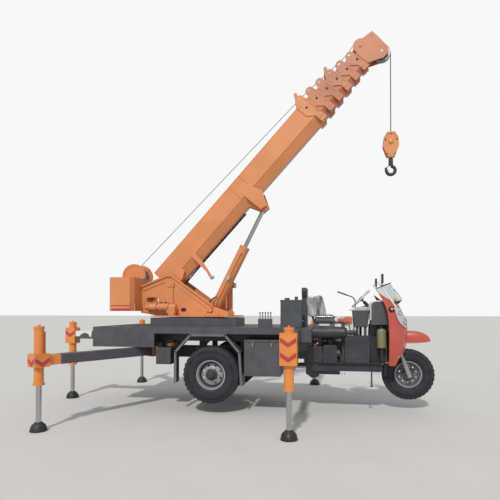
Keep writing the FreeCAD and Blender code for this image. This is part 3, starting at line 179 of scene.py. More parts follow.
FINISHES = {
    "crane_orange": dict(colour=(0.7, 0.25, 0.085), rough=0.38, coat=0.25, tint=0.1, dust=0.16,
                         chips=0.15),
    "leg_orange": dict(colour=(0.76, 0.245, 0.038), rough=0.38, coat=0.2, tint=0.12, dust=0.2,
                       chips=0.25),
    "cowl_red": dict(colour=(0.5, 0.074, 0.05), rough=0.28, coat=0.5, tint=0.08, dust=0.12),
    "chassis_grey": dict(colour=(0.066, 0.064, 0.078), rough=0.46, tint=0.14, dust=0.16, chips=0.25,
                         bare=(0.2, 0.18, 0.16)),
    "dark_steel": dict(colour=(0.027, 0.029, 0.036), rough=0.48, tint=0.3, dust=0.22, chips=0.2,
                       bare=(0.14, 0.14, 0.15), dust_colour=(0.28, 0.28, 0.3)),
    "rim_dark": dict(colour=(0.085, 0.085, 0.098), rough=0.38, metal=0.4, tint=0.3, dust=0.2),
    "rail_navy": dict(colour=(0.022, 0.023, 0.031), rough=0.52, tint=0.3, dust=0.22, chips=0.2,
                      dust_colour=(0.24, 0.24, 0.27)),
    # Boom sections 2 to 7: a darker, redder orange that is painted shade.
    "section_orange_painted_shade": dict(colour=(0.53, 0.18, 0.078), rough=0.4, coat=0.25, tint=0.35, dust=0.1,
                           grain=40, bump=0.06, chips=0.2, scale=2.2),
    "tank_grey": dict(colour=(0.052, 0.06, 0.074), rough=0.52, coat=0.1, tint=0.25, dust=0.25,
                      dust_colour=(0.3, 0.31, 0.33)),
    "tyre_rubber": dict(colour=(0.016, 0.018, 0.025), rough=0.8, tint=0.3, dust=0.26, grain=180,
                        bump=0.15, scale=5, dust_colour=(0.17, 0.175, 0.19)),
    "rim_silver": dict(colour=(0.36, 0.37, 0.39), rough=0.4, metal=0.35, tint=0.2, dust=0.35,
                       chips=0.4, dust_colour=(0.26, 0.23, 0.2)),
    "chrome_rod": dict(colour=(0.5, 0.49, 0.485), rough=0.16, metal=1.0, tint=0.06, dust=0.05,
                       bump=0.01),
    "sheave_steel": dict(colour=(0.3, 0.29, 0.28), rough=0.42, metal=0.8, tint=0.3, dust=0.2),
    "engine_iron": dict(colour=(0.075, 0.08, 0.092), rough=0.55, metal=0.3, tint=0.35, dust=0.3,
                        grain=140, bump=0.25, chips=0.3, dust_colour=(0.28, 0.27, 0.26)),
    "clear_glass": dict(colour=(0.42, 0.56, 0.6), rough=0.05, tint=0.02, dust=0.0, alpha=0.22,
                        bump=0.0),
    "seat_vinyl": dict(colour=(0.1, 0.105, 0.115), rough=0.24, coat=0.7, tint=0.2, dust=0.15,
                       grain=35, bump=0.35),
    "lamp_lens": dict(colour=(0.47, 0.5, 0.52), rough=0.08, coat=1.0, tint=0.04, dust=0.05,
                      bump=0.0),
    "grip_black": dict(colour=(0.014, 0.014, 0.017), rough=0.5, tint=0.2, dust=0.06, grain=200,
                       bump=0.12),
    "stripe_red": dict(colour=(0.47, 0.03, 0.045), rough=0.4, tint=0.1, dust=0.15),
    "wire_rope": dict(colour=(0.26, 0.25, 0.24), rough=0.5, metal=0.7, tint=0.3, dust=0.1,
                      grain=240, bump=0.4),
    "hose_black": dict(colour=(0.02, 0.02, 0.022), rough=0.55, tint=0.25, dust=0.2, grain=220,
                       bump=0.2),
    "amber_lens": dict(colour=(0.95, 0.32, 0.03), rough=0.15, coat=0.8, tint=0.05, dust=0.05,
                       bump=0.0),
    "edge_grey": dict(colour=(0.13, 0.13, 0.145), rough=0.45, tint=0.15, dust=0.2),
    "red_lens": dict(colour=(0.6, 0.02, 0.02), rough=0.15, coat=0.8, tint=0.05, dust=0.05,
                     bump=0.0),
    "bright_steel": dict(colour=(0.55, 0.55, 0.55), rough=0.35, metal=0.9, tint=0.15, dust=0.15),
    "white_plate": dict(colour=(0.78, 0.78, 0.76), rough=0.4, tint=0.05, dust=0.2),
    "copper_red": dict(colour=(0.62, 0.15, 0.06), rough=0.35, coat=0.3, tint=0.15, dust=0.2),
    "olive_can": dict(colour=(0.24, 0.22, 0.11), rough=0.45, tint=0.15, dust=0.3),
    "seat_film": dict(colour=(0.36, 0.37, 0.39), rough=0.14, coat=1.0, tint=0.8, dust=0.05, scale=16,
                      grain=22, bump=1.0, stretch=(1.0, 1.0, 0.22)),
    "fork_silver": dict(colour=(0.34, 0.35, 0.38), rough=0.34, metal=0.5, tint=0.2, dust=0.2),
    "pale_film": dict(colour=(0.62, 0.64, 0.66), rough=0.16, coat=0.8, tint=0.25, dust=0.1, scale=9,
                      grain=60, bump=0.8),
}
MATERIALS = {}


def paint(name):
    if name not in MATERIALS:
        MATERIALS[name] = finish(name, **FINISHES[name])
    return MATERIALS[name]


# Shapes

class Shape:
    """Collects closed solids in one mesh and makes a piece of them."""

    def __init__(self, place=HOME):
        self.mesh = bmesh.new()
        self.place = place

    def _add(self, points, faces, local=None):
        turn = self.place if local is None else self.place @ local
        made = [self.mesh.verts.new(turn @ Vector(p)) for p in points]
        for face in faces:
            self.mesh.faces.new([made[i] for i in face])
        return self

    def box(self, x, y, z, local=None):
        points = [(a, b, c) for a in x for b in y for c in z]
        faces = [(0, 1, 3, 2), (4, 6, 7, 5), (0, 4, 5, 1), (2, 3, 7, 6), (0, 2, 6, 4), (1, 5, 7, 3)]
        return self._add(points, faces, local)

    def pair(self, x, y, z):
        """The same box on both sides; y is counted outward from the middle."""
        for side in (-1, 1):
            self.box(x, sorted((side * y[0], side * y[1])), z)
        return self

    def pair_plate(self, outline, y):
        """The same upright plate on both sides."""
        for side in (-1, 1):
            low, high = sorted((side * y[0], side * y[1]))
            self.plate(outline, low, high)
        return self

    def rings(self, profile, places, sides):
        """The same ring at each of a list of places."""
        for place in places:
            self.ring(profile, place, sides)
        return self

    def lathe(self, profile, local=None, sides=32, closed=False):
        """Turns (radius, along) points round the local Z axis, with both ends capped."""
        points, faces, rows = [], [], len(profile)
        for k in range(sides):
            a = 2 * math.pi * k / sides
            points += [(r * math.cos(a), r * math.sin(a), h) for r, h in profile]
        for k in range(sides):
            here, there = k * rows, (k + 1) % sides * rows
            for i in range(rows if closed else rows - 1):
                j = (i + 1) % rows
                faces.append((here + i, there + i, there + j, here + j))
        if not closed:
            faces.append([k * rows for k in range(sides)][::-1])
            faces.append([k * rows + rows - 1 for k in range(sides)])
        return self._add(points, faces, local)

    def ring(self, profile, local=None, sides=48):
        """Turns a closed (radius, along) outline round the local Z axis."""
        return self.lathe(profile, local, sides, closed=True)

    def rod(self, a, b, radius, end=None, sides=20):
        """A round bar between two places of the shape's own frame."""
        a, b = Vector(a), Vector(b)
        run = b - a
        turn = run.to_track_quat("Z", "Y").to_matrix().to_4x4()
        end = radius if end is None else end
        return self.lathe([(radius, 0), (end, run.length)], Matrix.Translation(a) @ turn, sides)

    def plate(self, outline, low, high, plane="XZ", local=None):
        """A flat outline between two limits of the third axis."""
        order = {"XZ": lambda u, v, w: (u, w, v), "YZ": lambda u, v, w: (w, u, v),
                 "XY": lambda u, v, w: (u, v, w)}[plane]
        count = len(outline)
        points = [order(u, v, low) for u, v in outline] + [order(u, v, high) for u, v in outline]
        faces = [list(range(count))[::-1], list(range(count, 2 * count))]
        faces += [(i, (i + 1) % count, count + (i + 1) % count, count + i) for i in range(count)]
        return self._add(points, faces, local)

    def tube(self, path, radius, sides=10, rounds=6):
        """A pipe on a smooth line through the path's points."""
        line = smooth_line([Vector(p) for p in path], rounds)
        points, faces = [], []
        across = None
        for i, here in enumerate(line):
            ahead = (line[min(i + 1, len(line) - 1)] - line[max(i - 1, 0)]).normalized()
            if across is None:
                across = ahead.orthogonal().normalized()
            across = (across - ahead * across.dot(ahead)).normalized()
            other = ahead.cross(across)
            for k in range(sides):
                a = 2 * math.pi * k / sides
                points.append(here + (across * math.cos(a) + other * math.sin(a)) * radius)
        for i in range(len(line) - 1):
            for k in range(sides):
                j = (k + 1) % sides
                faces.append((i * sides + k, i * sides + j, (i + 1) * sides + j, (i + 1) * sides + k))
        faces.append(list(range(sides))[::-1])
        last = (len(line) - 1) * sides
        faces.append(list(range(last, last + sides)))
        return self._add(points, faces)

    def make(self, name, look, body="chassis", bevel=0.0, sharp=35):
        """Ends the shape: its normals, edges, bevel, finish and the body that it rides on."""
        bmesh.ops.recalc_face_normals(self.mesh, faces=self.mesh.faces)
        limit = math.radians(sharp)
        for face in self.mesh.faces:
            face.smooth = True
        for edge in self.mesh.edges:
            edge.smooth = len(edge.link_faces) == 2 and edge.calc_face_angle(0) < limit
        data = bpy.data.meshes.new(name)
        self.mesh.to_mesh(data)
        self.mesh.free()
        piece = link_piece(name, data)
        data.materials.append(paint(look))
        if bevel > 0:
            edge = piece.modifiers.new("edge", "BEVEL")
            edge.width = bevel
            edge.segments = 2
            edge.limit_method = "ANGLE"
            edge.angle_limit = math.radians(40)
            edge.harden_normals = True
        if body:
            settle(piece, body)
        return piece


def smooth_line(points, rounds):
    """A Catmull-Rom line through the points."""
    if len(points) < 3:
        return points
    line = []
    padded = [points[0] * 2 - points[1]] + points + [points[-1] * 2 - points[-2]]
    for i in range(1, len(padded) - 2):
        p0, p1, p2, p3 = padded[i - 1:i + 3]
        for k in range(rounds):
            t = k / rounds
            line.append(0.5 * (2 * p1 + (p2 - p0) * t + (2 * p0 - 5 * p1 + 4 * p2 - p3) * t ** 2
                               + (3 * p1 - p0 - 3 * p2 + p3) * t ** 3))
    return line + [points[-1]]


def link_piece(name, data):
    piece = bpy.data.objects.new(name, data)
    bpy.context.scene.collection.objects.link(piece)
    return piece


def settle(piece, body):
    """The body that a piece rides on."""
    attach(piece, body)


def turned(x, y, z, axis, degrees):
    """A matrix at a place, turned round one axis."""
    return Matrix.Translation((x, y, z)) @ spin(axis, degrees)


def spin(axis, degrees):
    return Matrix.Rotation(math.radians(degrees), 4, axis)


def repeat_tree():
    """Geometry Nodes: puts a piece on every point, turned and sized by the points' attributes."""
    tree = bpy.data.node_groups.new("repeat_piece", "GeometryNodeTree")
    for label, way, kind in (("Geometry", "INPUT", "Geometry"), ("Piece", "INPUT", "Object"),
                             ("Size", "INPUT", "Float"), ("Finish", "INPUT", "Material"),
                             ("Geometry", "OUTPUT", "Geometry")):
        tree.interface.new_socket(label, in_out=way, socket_type="NodeSocket" + kind)
    new, link = tree.nodes.new, tree.links.new
    start, end = new("NodeGroupInput"), new("NodeGroupOutput")
    info, place = new("GeometryNodeObjectInfo"), new("GeometryNodeInstanceOnPoints")
    turn, as_turn = new("GeometryNodeInputNamedAttribute"), new("FunctionNodeEulerToRotation")
    turn.data_type = "FLOAT_VECTOR"
    turn.inputs["Name"].default_value = "turn"
    real, dress = new("GeometryNodeRealizeInstances"), new("GeometryNodeSetMaterial")
    for one, out, other, into in (
            (start, "Geometry", place, "Points"), (start, "Piece", info, "Object"),
            (info, "Geometry", place, "Instance"), (turn, "Attribute", as_turn, 0),
            (as_turn, 0, place, "Rotation"), (start, "Size", place, "Scale"),
            (place, "Instances", real, "Geometry"), (real, "Geometry", dress, "Geometry"),
            (start, "Finish", dress, "Material"), (dress, "Geometry", end, "Geometry")):
        link(one.outputs[out], other.inputs[into])
    return tree


REPEAT = repeat_tree()
SOCKET = {item.name: item.identifier for item in REPEAT.interface.items_tree if item.in_out == "INPUT"}


def repeat(name, template, places, body, look, size=1.0):
    """Copies of a small template at a list of matrices, as one plain mesh."""
    data = bpy.data.meshes.new(name + "_points")
    data.from_pydata([m.to_translation() for m in places], [], [])
    turn = data.attributes.new("turn", "FLOAT_VECTOR", "POINT")
    for k, m in enumerate(places):
        turn.data[k].vector = m.to_euler()
    points = link_piece(name + "_points", data)
    grow = points.modifiers.new("repeat", "NODES")
    grow.node_group = REPEAT
    grow[SOCKET["Piece"]] = template
    grow[SOCKET["Size"]] = size
    grow[SOCKET["Finish"]] = paint(look)
    seen = points.evaluated_get(bpy.context.evaluated_depsgraph_get())
    mesh = bpy.data.meshes.new_from_object(seen)
    mesh.name = name
    bpy.data.objects.remove(points)
    piece = link_piece(name, mesh)
    settle(piece, body)
    return piece


templates = []


def template(shape, name, sharp=35):
    piece = shape.make(name, "dark_steel", None, sharp=sharp)
    templates.append(piece)
    return piece


def facing(place, x, y, z, way):
    """A matrix at a place of a frame whose Z looks along the given way."""
    at = place @ Vector((x, y, z))
    look = (place.to_3x3() @ Vector(way)).normalized()
    return Matrix.Translation(at) @ look.to_track_quat("Z", "Y").to_matrix().to_4x4()


BARE = Matrix.Identity(4)
bolt = Shape(BARE)
bolt.lathe([(0.0125, -0.002), (0.0125, 0.002), (0.0112, 0.003)], sides=16)
bolt.lathe([(0.0085, 0.002), (0.0085, 0.0085), (0.0072, 0.01)], sides=6)
BOLT = template(bolt, "bolt_template")
rivet = Shape(BARE).lathe([(0.006, -0.001), (0.0055, 0.002), (0.003, 0.0038)], sides=10)
RIVET = template(rivet, "rivet_template")
adjuster = Shape(BARE)
adjuster.lathe([(0.009, -0.004), (0.009, 0.034)], sides=10)
adjuster.lathe([(0.014, 0.006), (0.014, 0.016)], sides=6)
ADJUSTER = template(adjuster, "adjuster_template")


# CAD nodes keep their shapes and take the finishes.
OTHER_PAINT = {"fork": "fork_silver", "oil_tank": "tank_grey", "frame": "rail_navy",
               "cab_floor": "rail_navy", "front_rim": "rim_dark"}
# Boom sections 2 to 7 take the darker orange, which is painted shade.
for number in range(2, 8):
    OTHER_PAINT[f"boom_{number}"] = "section_orange_painted_shade"
for name, piece in frame["nodes"].items():
    slot_name = next(s["material_slot"] for s in frame["record"]["subparts"] if s["node"] == name)
    for slot in piece.material_slots:
        slot.material = paint(OTHER_PAINT.get(name, slot_name))


# Wheels

def tread(name, body, centre, radius, width, count, depth):
    """Slanted lugs in two staggered rows."""
    lug = Shape(BARE)
    half = width * 0.4
    lug.plate([(-0.02, -half), (0.018, -half), (0.024, -half * 0.35), (0.046, 0.0),
               (0.012, 0.0), (-0.012, -half * 0.35)], -0.012, depth, "XY")
    lug_piece = template(lug, name + "_lug")
    places = []
    for row in (0, 1):
        for k in range(count):
            a = 2 * math.pi * (k + 0.5 * row) / count
            out = Vector((math.cos(a), 0, math.sin(a)))
            side = Vector((0, 1, 0)) if row else Vector((0, -1, 0))
            along = (-side).cross(out)
            turn = Matrix((along, -side, out)).transposed().to_4x4()
            places.append(Matrix.Translation(centre + out * radius) @ turn)
    return repeat(name, lug_piece, places, body, "tyre_rubber")


def sidewall(name, body, centre, radius, width, rim):
    """Raised rings on both walls of a tyre."""
    shape = Shape(turned(*centre, "X", -90))
    span = radius - rim
    for side in (-1, 1):
        for at, rise, reach in ((0.22, 0.92, 0.006), (0.6, 1.005, 0.004), (0.66, 1.005, 0.004)):
            r = rim + span * at
            y = side * width / 2 * rise
            foot, crest = y - 0.004 * side, y + 0.002 * side
            shape.ring([(r - reach, foot), (r + reach, foot), (r + reach * 0.4, crest),
                        (r - reach * 0.4, crest)], sides=72)
    return shape.make(name, "tyre_rubber", body)


def wheel_trim(name, body, centre, side, rim, hub, nuts):
    """Hub cap, wheel nuts and a lock ring, with a dark ring painted as shade in the rim's recess."""
    place = turned(*centre, "X", -90 * side)
    shape = Shape(place)
    shape.ring([(rim - 0.026, 0.052), (rim - 0.006, 0.052), (rim - 0.008, 0.066),
                (rim - 0.022, 0.066)], sides=64)
    shape.ring([(rim - 0.07, -0.014), (rim - 0.064, -0.014), (rim - 0.064, -0.004), (rim - 0.07, -0.002)],
               sides=64)
    shape.make(name + "_cap", "rim_silver", body)
    dark = Shape(place)
    dark.lathe([(hub, 0.006), (hub, 0.03), (hub * 0.86, 0.036), (hub * 0.62, 0.038), (hub * 0.6, 0.064),
                (hub * 0.5, 0.074), (hub * 0.2, 0.078)], sides=36)
    # A dark ring in the rim's deep recess: painted shade.
    dark.ring([(rim - 0.062, -0.019), (rim - 0.0365, -0.0215), (rim - 0.0365, 0.01), (rim - 0.039, 0.012),
               (rim - 0.04, -0.014), (rim - 0.062, -0.014)], sides=64)
    dark.make(name + "_dark", "dark_steel", body)
    places = [place @ Matrix.Rotation(2 * math.pi * k / nuts, 4, "Z")
              @ Matrix.Translation((0.1, 0, 0.004)) for k in range(nuts)]
    repeat(name + "_nuts", BOLT, places, body, "bright_steel", size=1.25)


for end, side in (("near", -1), ("far", 1)):
    hub_at = spot(0, side * 0.75, REAR_Z)
    radius, width, rim = REAR_TYRE
    tread(f"rear_tread_{end}", f"{end}_wheel", hub_at, radius - 0.01, width, 34, 0.0095)
    sidewall(f"rear_sidewall_{end}", f"{end}_wheel", hub_at, radius, width, rim)
    wheel_trim(f"rear_hub_{end}", f"{end}_wheel", hub_at, side, rim, 0.085, 6)
front_hub = spot(WHEELBASE, 0, FRONT_Z)
radius, width, rim = FRONT_TYRE
tread("front_tread", "front_wheel", front_hub, radius - 0.006, width, 34, 0.0055)
sidewall("front_sidewall", "front_wheel", front_hub, radius, width, rim)
for end, side in (("near", -1), ("far", 1)):
    wheel_trim(f"front_hub_{end}", "front_wheel", front_hub, side, rim, 0.062, 5)


# Boom dress

def section(k):
    """Half width, underside, top and collar end of a boom section."""
    return (BOOM_HALF - k * STEP, BOOM_LOW + k * RISE, BOOM_TOP - k * FALL, BOOM_LEN + k * PITCH)


for k in range(6):
    half, low, top, end = section(k)
    body = f"section_{k + 1}"
    marks, small, studs = [], [], []
    for side in (-1, 1):
        y = side * (half + COLLAR)
        marks.append(facing(BOOM, end - 0.1 + 0.011 * k, y, top - 0.117 + 0.009 * k, (0, side, 0)))
        for s, n in ((end - 0.03, low + 0.05), (end - 0.075, low + 0.05), (end - 0.03, low + 0.16),
                     (end - 0.16, top - 0.03)):
            small.append(facing(BOOM, s, y, n, (0, side, 0)))
        y = side * half * 0.32
        for s in (end - 0.075, end - 0.03):
            studs.append(facing(BOOM, s, y, low - COLLAR, (0, 0, -1)))
            studs.append(facing(BOOM, s, y * 1.6, top + COLLAR, (0, 0, 1)))
    repeat(f"collar_plugs_{k + 1}", BOLT, marks, body, "dark_steel", size=1.5)
    repeat(f"collar_bolts_{k + 1}", BOLT, small, body, "crane_orange")
    repeat(f"collar_adjusters_{k + 1}", ADJUSTER, studs, body, "crane_orange", size=0.85)
    lip = Shape(BOOM)
    lip.pair((end - 0.014, end - 0.002), (half + COLLAR, half + COLLAR + 0.006), (low + 0.11, top + 0.006))
    lip.make(f"collar_lip_{k + 1}", "crane_orange", body, bevel=0.001)

# Weld runs along the first section, and the stiffening bands by its pivot.
weld = Shape(BOOM)
for side in (-1, 1):
    for n, radius in ((0.054, 0.004), (0.349, 0.003)):
        weld.tube([(s, side * 0.1505, n) for s in (-0.05, 1.2, 2.4, 3.38)], radius, 6)
weld.make("boom_welds", "crane_orange", "section_1")
band = Shape(BOOM)
band.pair_plate([(-0.055, 0.16), (0.1, 0.12), (0.3, 0.06), (0.34, 0.0), (0.2, -0.07), (-0.055, -0.07)],
                (0.15, 0.157))
for x in ((1.78, 1.87), (2.02, 2.06)):
    band.pair(x, (0.15, 0.157), (0.06, 0.352))
band.make("boom_bands", "crane_orange", "section_1", bevel=0.002)

# Eye bolts and a clip on the hose arm.
clip = Shape(BOOM)
clip.rod((0.545, -0.16, -0.42), (0.545, -0.172, -0.42), 0.022, sides=6)
clip.ring([(0.015, 0.1), (0.026, 0.1), (0.026, 0.15), (0.015, 0.15)],
          turned(0.545, 0, -0.42, "X", 90), 24)
clip.make("hose_arm_clip", "bright_steel", "section_1")

# Hydraulic pipes clipped along the underside of the first section.
pipes = Shape(BOOM)
for y in (0.06, 0.085):
    pipes.tube([(0.1, y, -0.1), (0.5, y, -0.088), (1.2, y, -0.088), (1.66, y, -0.088)], 0.009, 8)
pipes.make("boom_pipes", "dark_steel", "section_1")

# Hoist rope, split at each joint.
ROPE = 0.0055


def strand(name, path, rounds):
    return Shape(BARE).tube(path, ROPE, 8, rounds).make(name, "wire_rope", None)


drum_at = spot(WINCH[0], 0, WINCH[1])
top_1, end_1 = section(0)[2:]
roller_1 = BOOM @ Vector((end_1 - 0.062, 0, top_1 + COLLAR + 0.138 - 0.026 - ROPE))
run = (roller_1 - drum_at - Vector((0, 0, 0.088))).normalized()
lean = Vector((-run.z, 0, run.x))
leave = drum_at + lean * 0.092
first = [leave + (roller_1 - leave) * t for t in (0, 0.03, 0.06, 0.09, 0.12, 0.16, 0.2, 0.4, 0.6, 0.8, 1)]
piece = strand("rope_winch_to_boom", first, rounds=3)
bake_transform(piece)
knots = [roller_1]
for k in range(1, 6):
    half, low, top, end = section(k)
    knots.append(BOOM @ Vector((end - 0.062, 0, top + COLLAR + 0.115 - (0.003 if k == 3 else 0.0))))
head_top = BOOM @ Vector((HEAD[0] - 0.03, 0, HEAD[1] + 0.112))
knots.append(head_top)
for k in range(6):
    a, b = knots[k], knots[k + 1]
    line = [a + (b - a) * t for t in (0, 0.15, 0.3, 0.45, 0.6, 0.75, 0.9, 1)]
    piece = strand(f"rope_over_section_{k + 1}", line, rounds=2)
    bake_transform(piece)
over = [BOOM @ Vector(p) for p in (
    (HEAD[0] - 0.03, 0, HEAD[1] + 0.112), (HEAD[0] + 0.03, 0, HEAD[1] + 0.113),
    (HEAD[0] + 0.12, 0, HEAD[1] + 0.075), (HEAD[0] + 0.2, 0, HEAD[1] + 0.036),
    (HEAD[0] + 0.245, 0, HEAD[1] + 0.026), (HEAD[0] + 0.284, 0, HEAD[1] - 0.01))]
over.append(nose_at + Vector((NOSE_R + 0.004, 0, 0.02)))
piece = strand("rope_over_head", over, rounds=6)
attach(piece, "section_7")
for k, y in enumerate((-0.02, 0.02)):
    top = nose_at + Vector((NOSE_R + 0.002, y, 0.0))
    low = Vector((top.x, y, block_at.z))
    line = [top + (low - top) * t for t in (0, 0.1, 0.25, 0.5, 0.75, 0.9, 1)]
    piece = strand(f"rope_fall_{k + 1}", line, rounds=2)
    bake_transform(piece)

# Rope wound on the drum: one closed coil.
coil = Shape(turned(*drum_at, "X", -90))
for k in range(20):
    z = -0.112 + k * 0.0118
    coil.ring([(0.076, z - 0.0055), (0.0815, z - 0.005), (0.0862, z), (0.0815, z + 0.005),
               (0.076, z + 0.0055)], sides=40)
coil.make("wound_rope", "wire_rope", "drum")


# Hook block dress
block = Shape(Matrix.Translation(block_at))
for side in (-1, 1):
    turn = turned(0, side * 0.054, 0, "X", -90 * side)
    block.lathe([(0.036, 0), (0.036, 0.012), (0.03, 0.016)], turn, 24)
block.pair_plate([(-0.095, 0.05), (-0.05, 0.135), (0.05, 0.135), (0.095, 0.05), (0.085, 0.045),
                  (0.045, 0.122), (-0.045, 0.122), (-0.085, 0.045)], (0.054, 0.06))
block.make("block_trim", "crane_orange", "block", bevel=0.001)
yoke = Shape(Matrix.Translation(block_at))
yoke.ring([(0.046, -0.052), (0.0485, -0.052), (0.0485, 0.052), (0.046, 0.052)],
          turned(0, 0, -0.19, "X", 90), 36)
yoke.make("block_yoke", "leg_orange", "block")
places = []
for side in (-1, 1):
    for x, z in ((-0.085, 0.03), (0.085, 0.03), (-0.06, -0.19), (0.06, -0.19), (0, 0.12)):
        places.append(facing(Matrix.Translation(block_at), x, side * 0.054, z, (0, side, 0)))
repeat("block_bolts", BOLT, places, "block", "dark_steel")


# Turret dress
stripe = Shape()
for z in ((1.567, 1.583), (1.494, 1.53)):
    stripe.pair((-1.69, -1.378), (0.5448, 0.5462), z)
stripe.make("weight_stripes", "stripe_red", "turret")
bolts = []
for side in (-1, 1):
    for x in (-1.02, -0.9, -0.62, -0.48, -0.2, 0.0):
        bolts.append(facing(HOME, x, side * 0.395, 1.4203, (0, 0, 1)))
repeat("turret_bolts", BOLT, bolts, "turret", "dark_steel")
plates = Shape()
plates.pair((-1.3, -0.98), (0.218, 0.224), (1.47, 1.5))
plates.pair((-0.4, -0.33), (0.218, 0.224), (1.5, 1.54))
plates.make("turret_patches", "crane_orange", "turret", bevel=0.002)
flange = Shape()
RIDGE = [(-1.334, 1.892), (-0.892, 2.062), (-0.818, 2.062), (-0.128, 1.568)]
for y, low, high in (((0.197, 0.254), 0, 0.01), ((0.222, 0.256), -0.022, 0.009)):
    for (xa, za), (xb, zb) in zip(RIDGE, RIDGE[1:]):
        flange.pair_plate([(xa, za + low), (xb, zb + low), (xb, zb + high), (xa, za + high)], y)
flange.make("cheek_flanges", "crane_orange", "turret", bevel=0.003)
board = Shape()
board.plate([(-0.036, 1.424), (-0.036, 2.0), (-0.066, 2.0), (-0.31, 1.6), (-0.31, 1.424)], 0.2325, 0.2425)
for x in (-0.2, -0.11):
    board.box((x - 0.005, x + 0.005), (0.2425, 0.262), (1.44, 1.66))
board.make("control_board", "crane_orange", "turret", bevel=0.002)
# The slots are flat dark plates on the turret side: painted shade of the openings.
slots = Shape()
for x in (-0.235, -0.18):
    slots.plate([(x, 1.46), (x + 0.03, 1.46), (x + 0.05, 1.5), (x + 0.02, 1.5)], -0.2192, -0.2178)
slots.make("turret_slots", "dark_steel", "turret")
oval = turned(-0.62, -0.2185, 1.51, "X", 90) @ Matrix.Diagonal((1.25, 0.8, 1, 1))
Shape().lathe([(0.038, 0), (0.038, 0.002)], oval, 28).make("turret_label", "grip_black", "turret")

hoses = Shape()
for x in (-0.98, -0.9):
    hoses.tube([(x, DRIVE_Y, 1.598), (x, -0.315, 1.618), (x + 0.01, -0.28, 1.626), (x + 0.01, -0.222, 1.6)],
               0.009, 8)
hoses.tube([(-0.2, -0.12, 1.44), (-0.24, -0.16, 1.56), (-0.17, -0.15, 1.68), (-0.1, -0.11, 1.72)],
           0.011, 8)
hoses.make("turret_hoses", "hose_black", "turret")
drive = Shape()
drive.rings([(0.046, -0.007), (0.066, -0.007), (0.066, 0.007), (0.046, 0.007)],
            [turned(x, DRIVE_Y, DRIVE_Z, "Y", 90) for x in (-1.155, -1.035, -0.985, -0.835)], 36)
drive.rings([(0.06, -0.003), (0.0655, -0.003), (0.0655, 0.003), (0.06, 0.003)],
            [turned(-0.965 + k * 0.022, DRIVE_Y, DRIVE_Z, "Y", 90) for k in range(6)], 36)
drive.make("slew_drive_rings", "crane_orange", "turret", bevel=0.001)
places = []
for k in range(8):
    a = 2 * math.pi * (k + 0.5) / 8
    y, z = DRIVE_Y + 0.056 * math.cos(a), DRIVE_Z + 0.056 * math.sin(a)
    for x, way in ((-0.828, 1), (-1.162, -1)):
        places.append(facing(HOME, x, y, z, (way, 0, 0)))
repeat("slew_drive_bolts", BOLT, places, "turret", "dark_steel", size=0.7)
fittings = Shape(LIFT)
fittings.rod((0, -0.093, 0.15), (0, -0.125, 0.15), 0.014)
fittings.box((-0.025, 0.025), (-0.12, -0.078), (0.55, 0.63))
fittings.rod((0, -0.093, 1.03), (0, -0.118, 1.03), 0.014)
fittings.make("lift_fittings", "bright_steel", "barrel")


# Outrigger jacks

def jack_dress(name, body, leg_body, where, low, high, half, chevrons, arm_side=0):
    """Chevrons on the sleeve, a cap with a pipe, and the foot's rings."""
    place = Matrix.Translation(spot(*where, 0))
    here = place @ Matrix.Rotation(arm_side, 4, "Z")
    cap = Shape(here)
    for level, out in ((0.59, 0.0705), (1.276, 0.0635)):
        cap.ring([(0.056, level), (out, level), (out, level + 0.007), (0.056, level + 0.01)], sides=36)
    cap.make(f"{name}_caps", "leg_orange", body, bevel=0.0015)
    red = Shape(here)
    for k in range(chevrons):
        z = high - 0.045 - k * 0.17
        for face in range(4):
            wide = half * 0.93
            red.plate([(-wide, z), (0, z - 0.062), (wide, z), (wide, z - 0.055), (0, z - 0.118),
                       (-wide, z - 0.055)], -half - 0.0012, -half + 0.0008, "XZ", spin("Z", 90 * face))
    red.make(f"{name}_chevrons", "stripe_red", body)
    foot = Shape(place)
    foot.ring([(0.036, 0.095), (0.052, 0.095), (0.05, 0.109), (0.036, 0.113)], sides=28)
    foot.ring([(0.097, 0.004), (0.102, 0.004), (0.102, 0.016), (0.097, 0.019)], sides=40)
    foot.make(f"{name}_foot_trim", "grip_black", leg_body)
    dome = Shape(place)
    dome.lathe([(0.08, 0.0008), (0.0992, 0.0008), (0.0992, 0.0205), (0.0963, 0.0268), (0.0935, 0.0507),
                (0.0778, 0.0792), (0.0503, 0.1014), (0.0403, 0.1135), (0.034, 0.1145)], sides=40)
    dome.make(f"{name}_foot_dome", "grip_black", leg_body)
    line = Shape(here)
    line.rod((0.074, 0.0, high - 0.002), (0.074, 0.0, 1.235), 0.01)
    line.rod((0.074, 0.0, 1.225), (0.05, 0.0, 1.225), 0.01)
    line.make(f"{name}_pipe", "leg_orange", body)


JACKS = [("near_front", "front_beam_near", "front_jack_near", FRONT_NEAR, 0.864, 1.235, 0.1, 2),
         ("far_front", "front_beam_far", "front_jack_far", FRONT_FAR, 0.864, 1.235, 0.1, 2)]
for end, side in (("near", -1), ("far", 1)):
    a = ARM_ANGLE[end]
    where = (ARM_PIVOT[0] - ARM_LEN * math.cos(a), side * (ARM_PIVOT[1] + ARM_LEN * math.sin(a)))
    JACKS.append((f"{end}_rear", f"rear_arm_{end}", f"rear_jack_{end}", where, 0.797, 0.962, 0.095,
                  1, -side * a))
JACKS.append(("tail", "tail_beam", "tail_jack", (TAIL_X, 0), 0.94, 1.205, 0.085, 1))
for row in JACKS:
    jack_dress(*row)
for end, side in (("near", -1), ("far", 1)):
    where = JACKS[2 if side < 0 else 3][3]
    dark = Shape(Matrix.Translation(spot(*where, 0)) @ Matrix.Rotation(-side * ARM_ANGLE[end], 4, "Z"))
    for y in ((-0.0655, -0.0648), (0.0648, 0.0655)):
        dark.box((0.25, 1.7), y, (0.813, 0.941))
    for z in ((0.9415, 0.9425), (0.8115, 0.8125)):
        dark.box((0.25, 1.7), (-0.0648, 0.0648), z)
    dark.make(f"arm_dark_{end}", "chassis_grey", f"rear_arm_{end}")


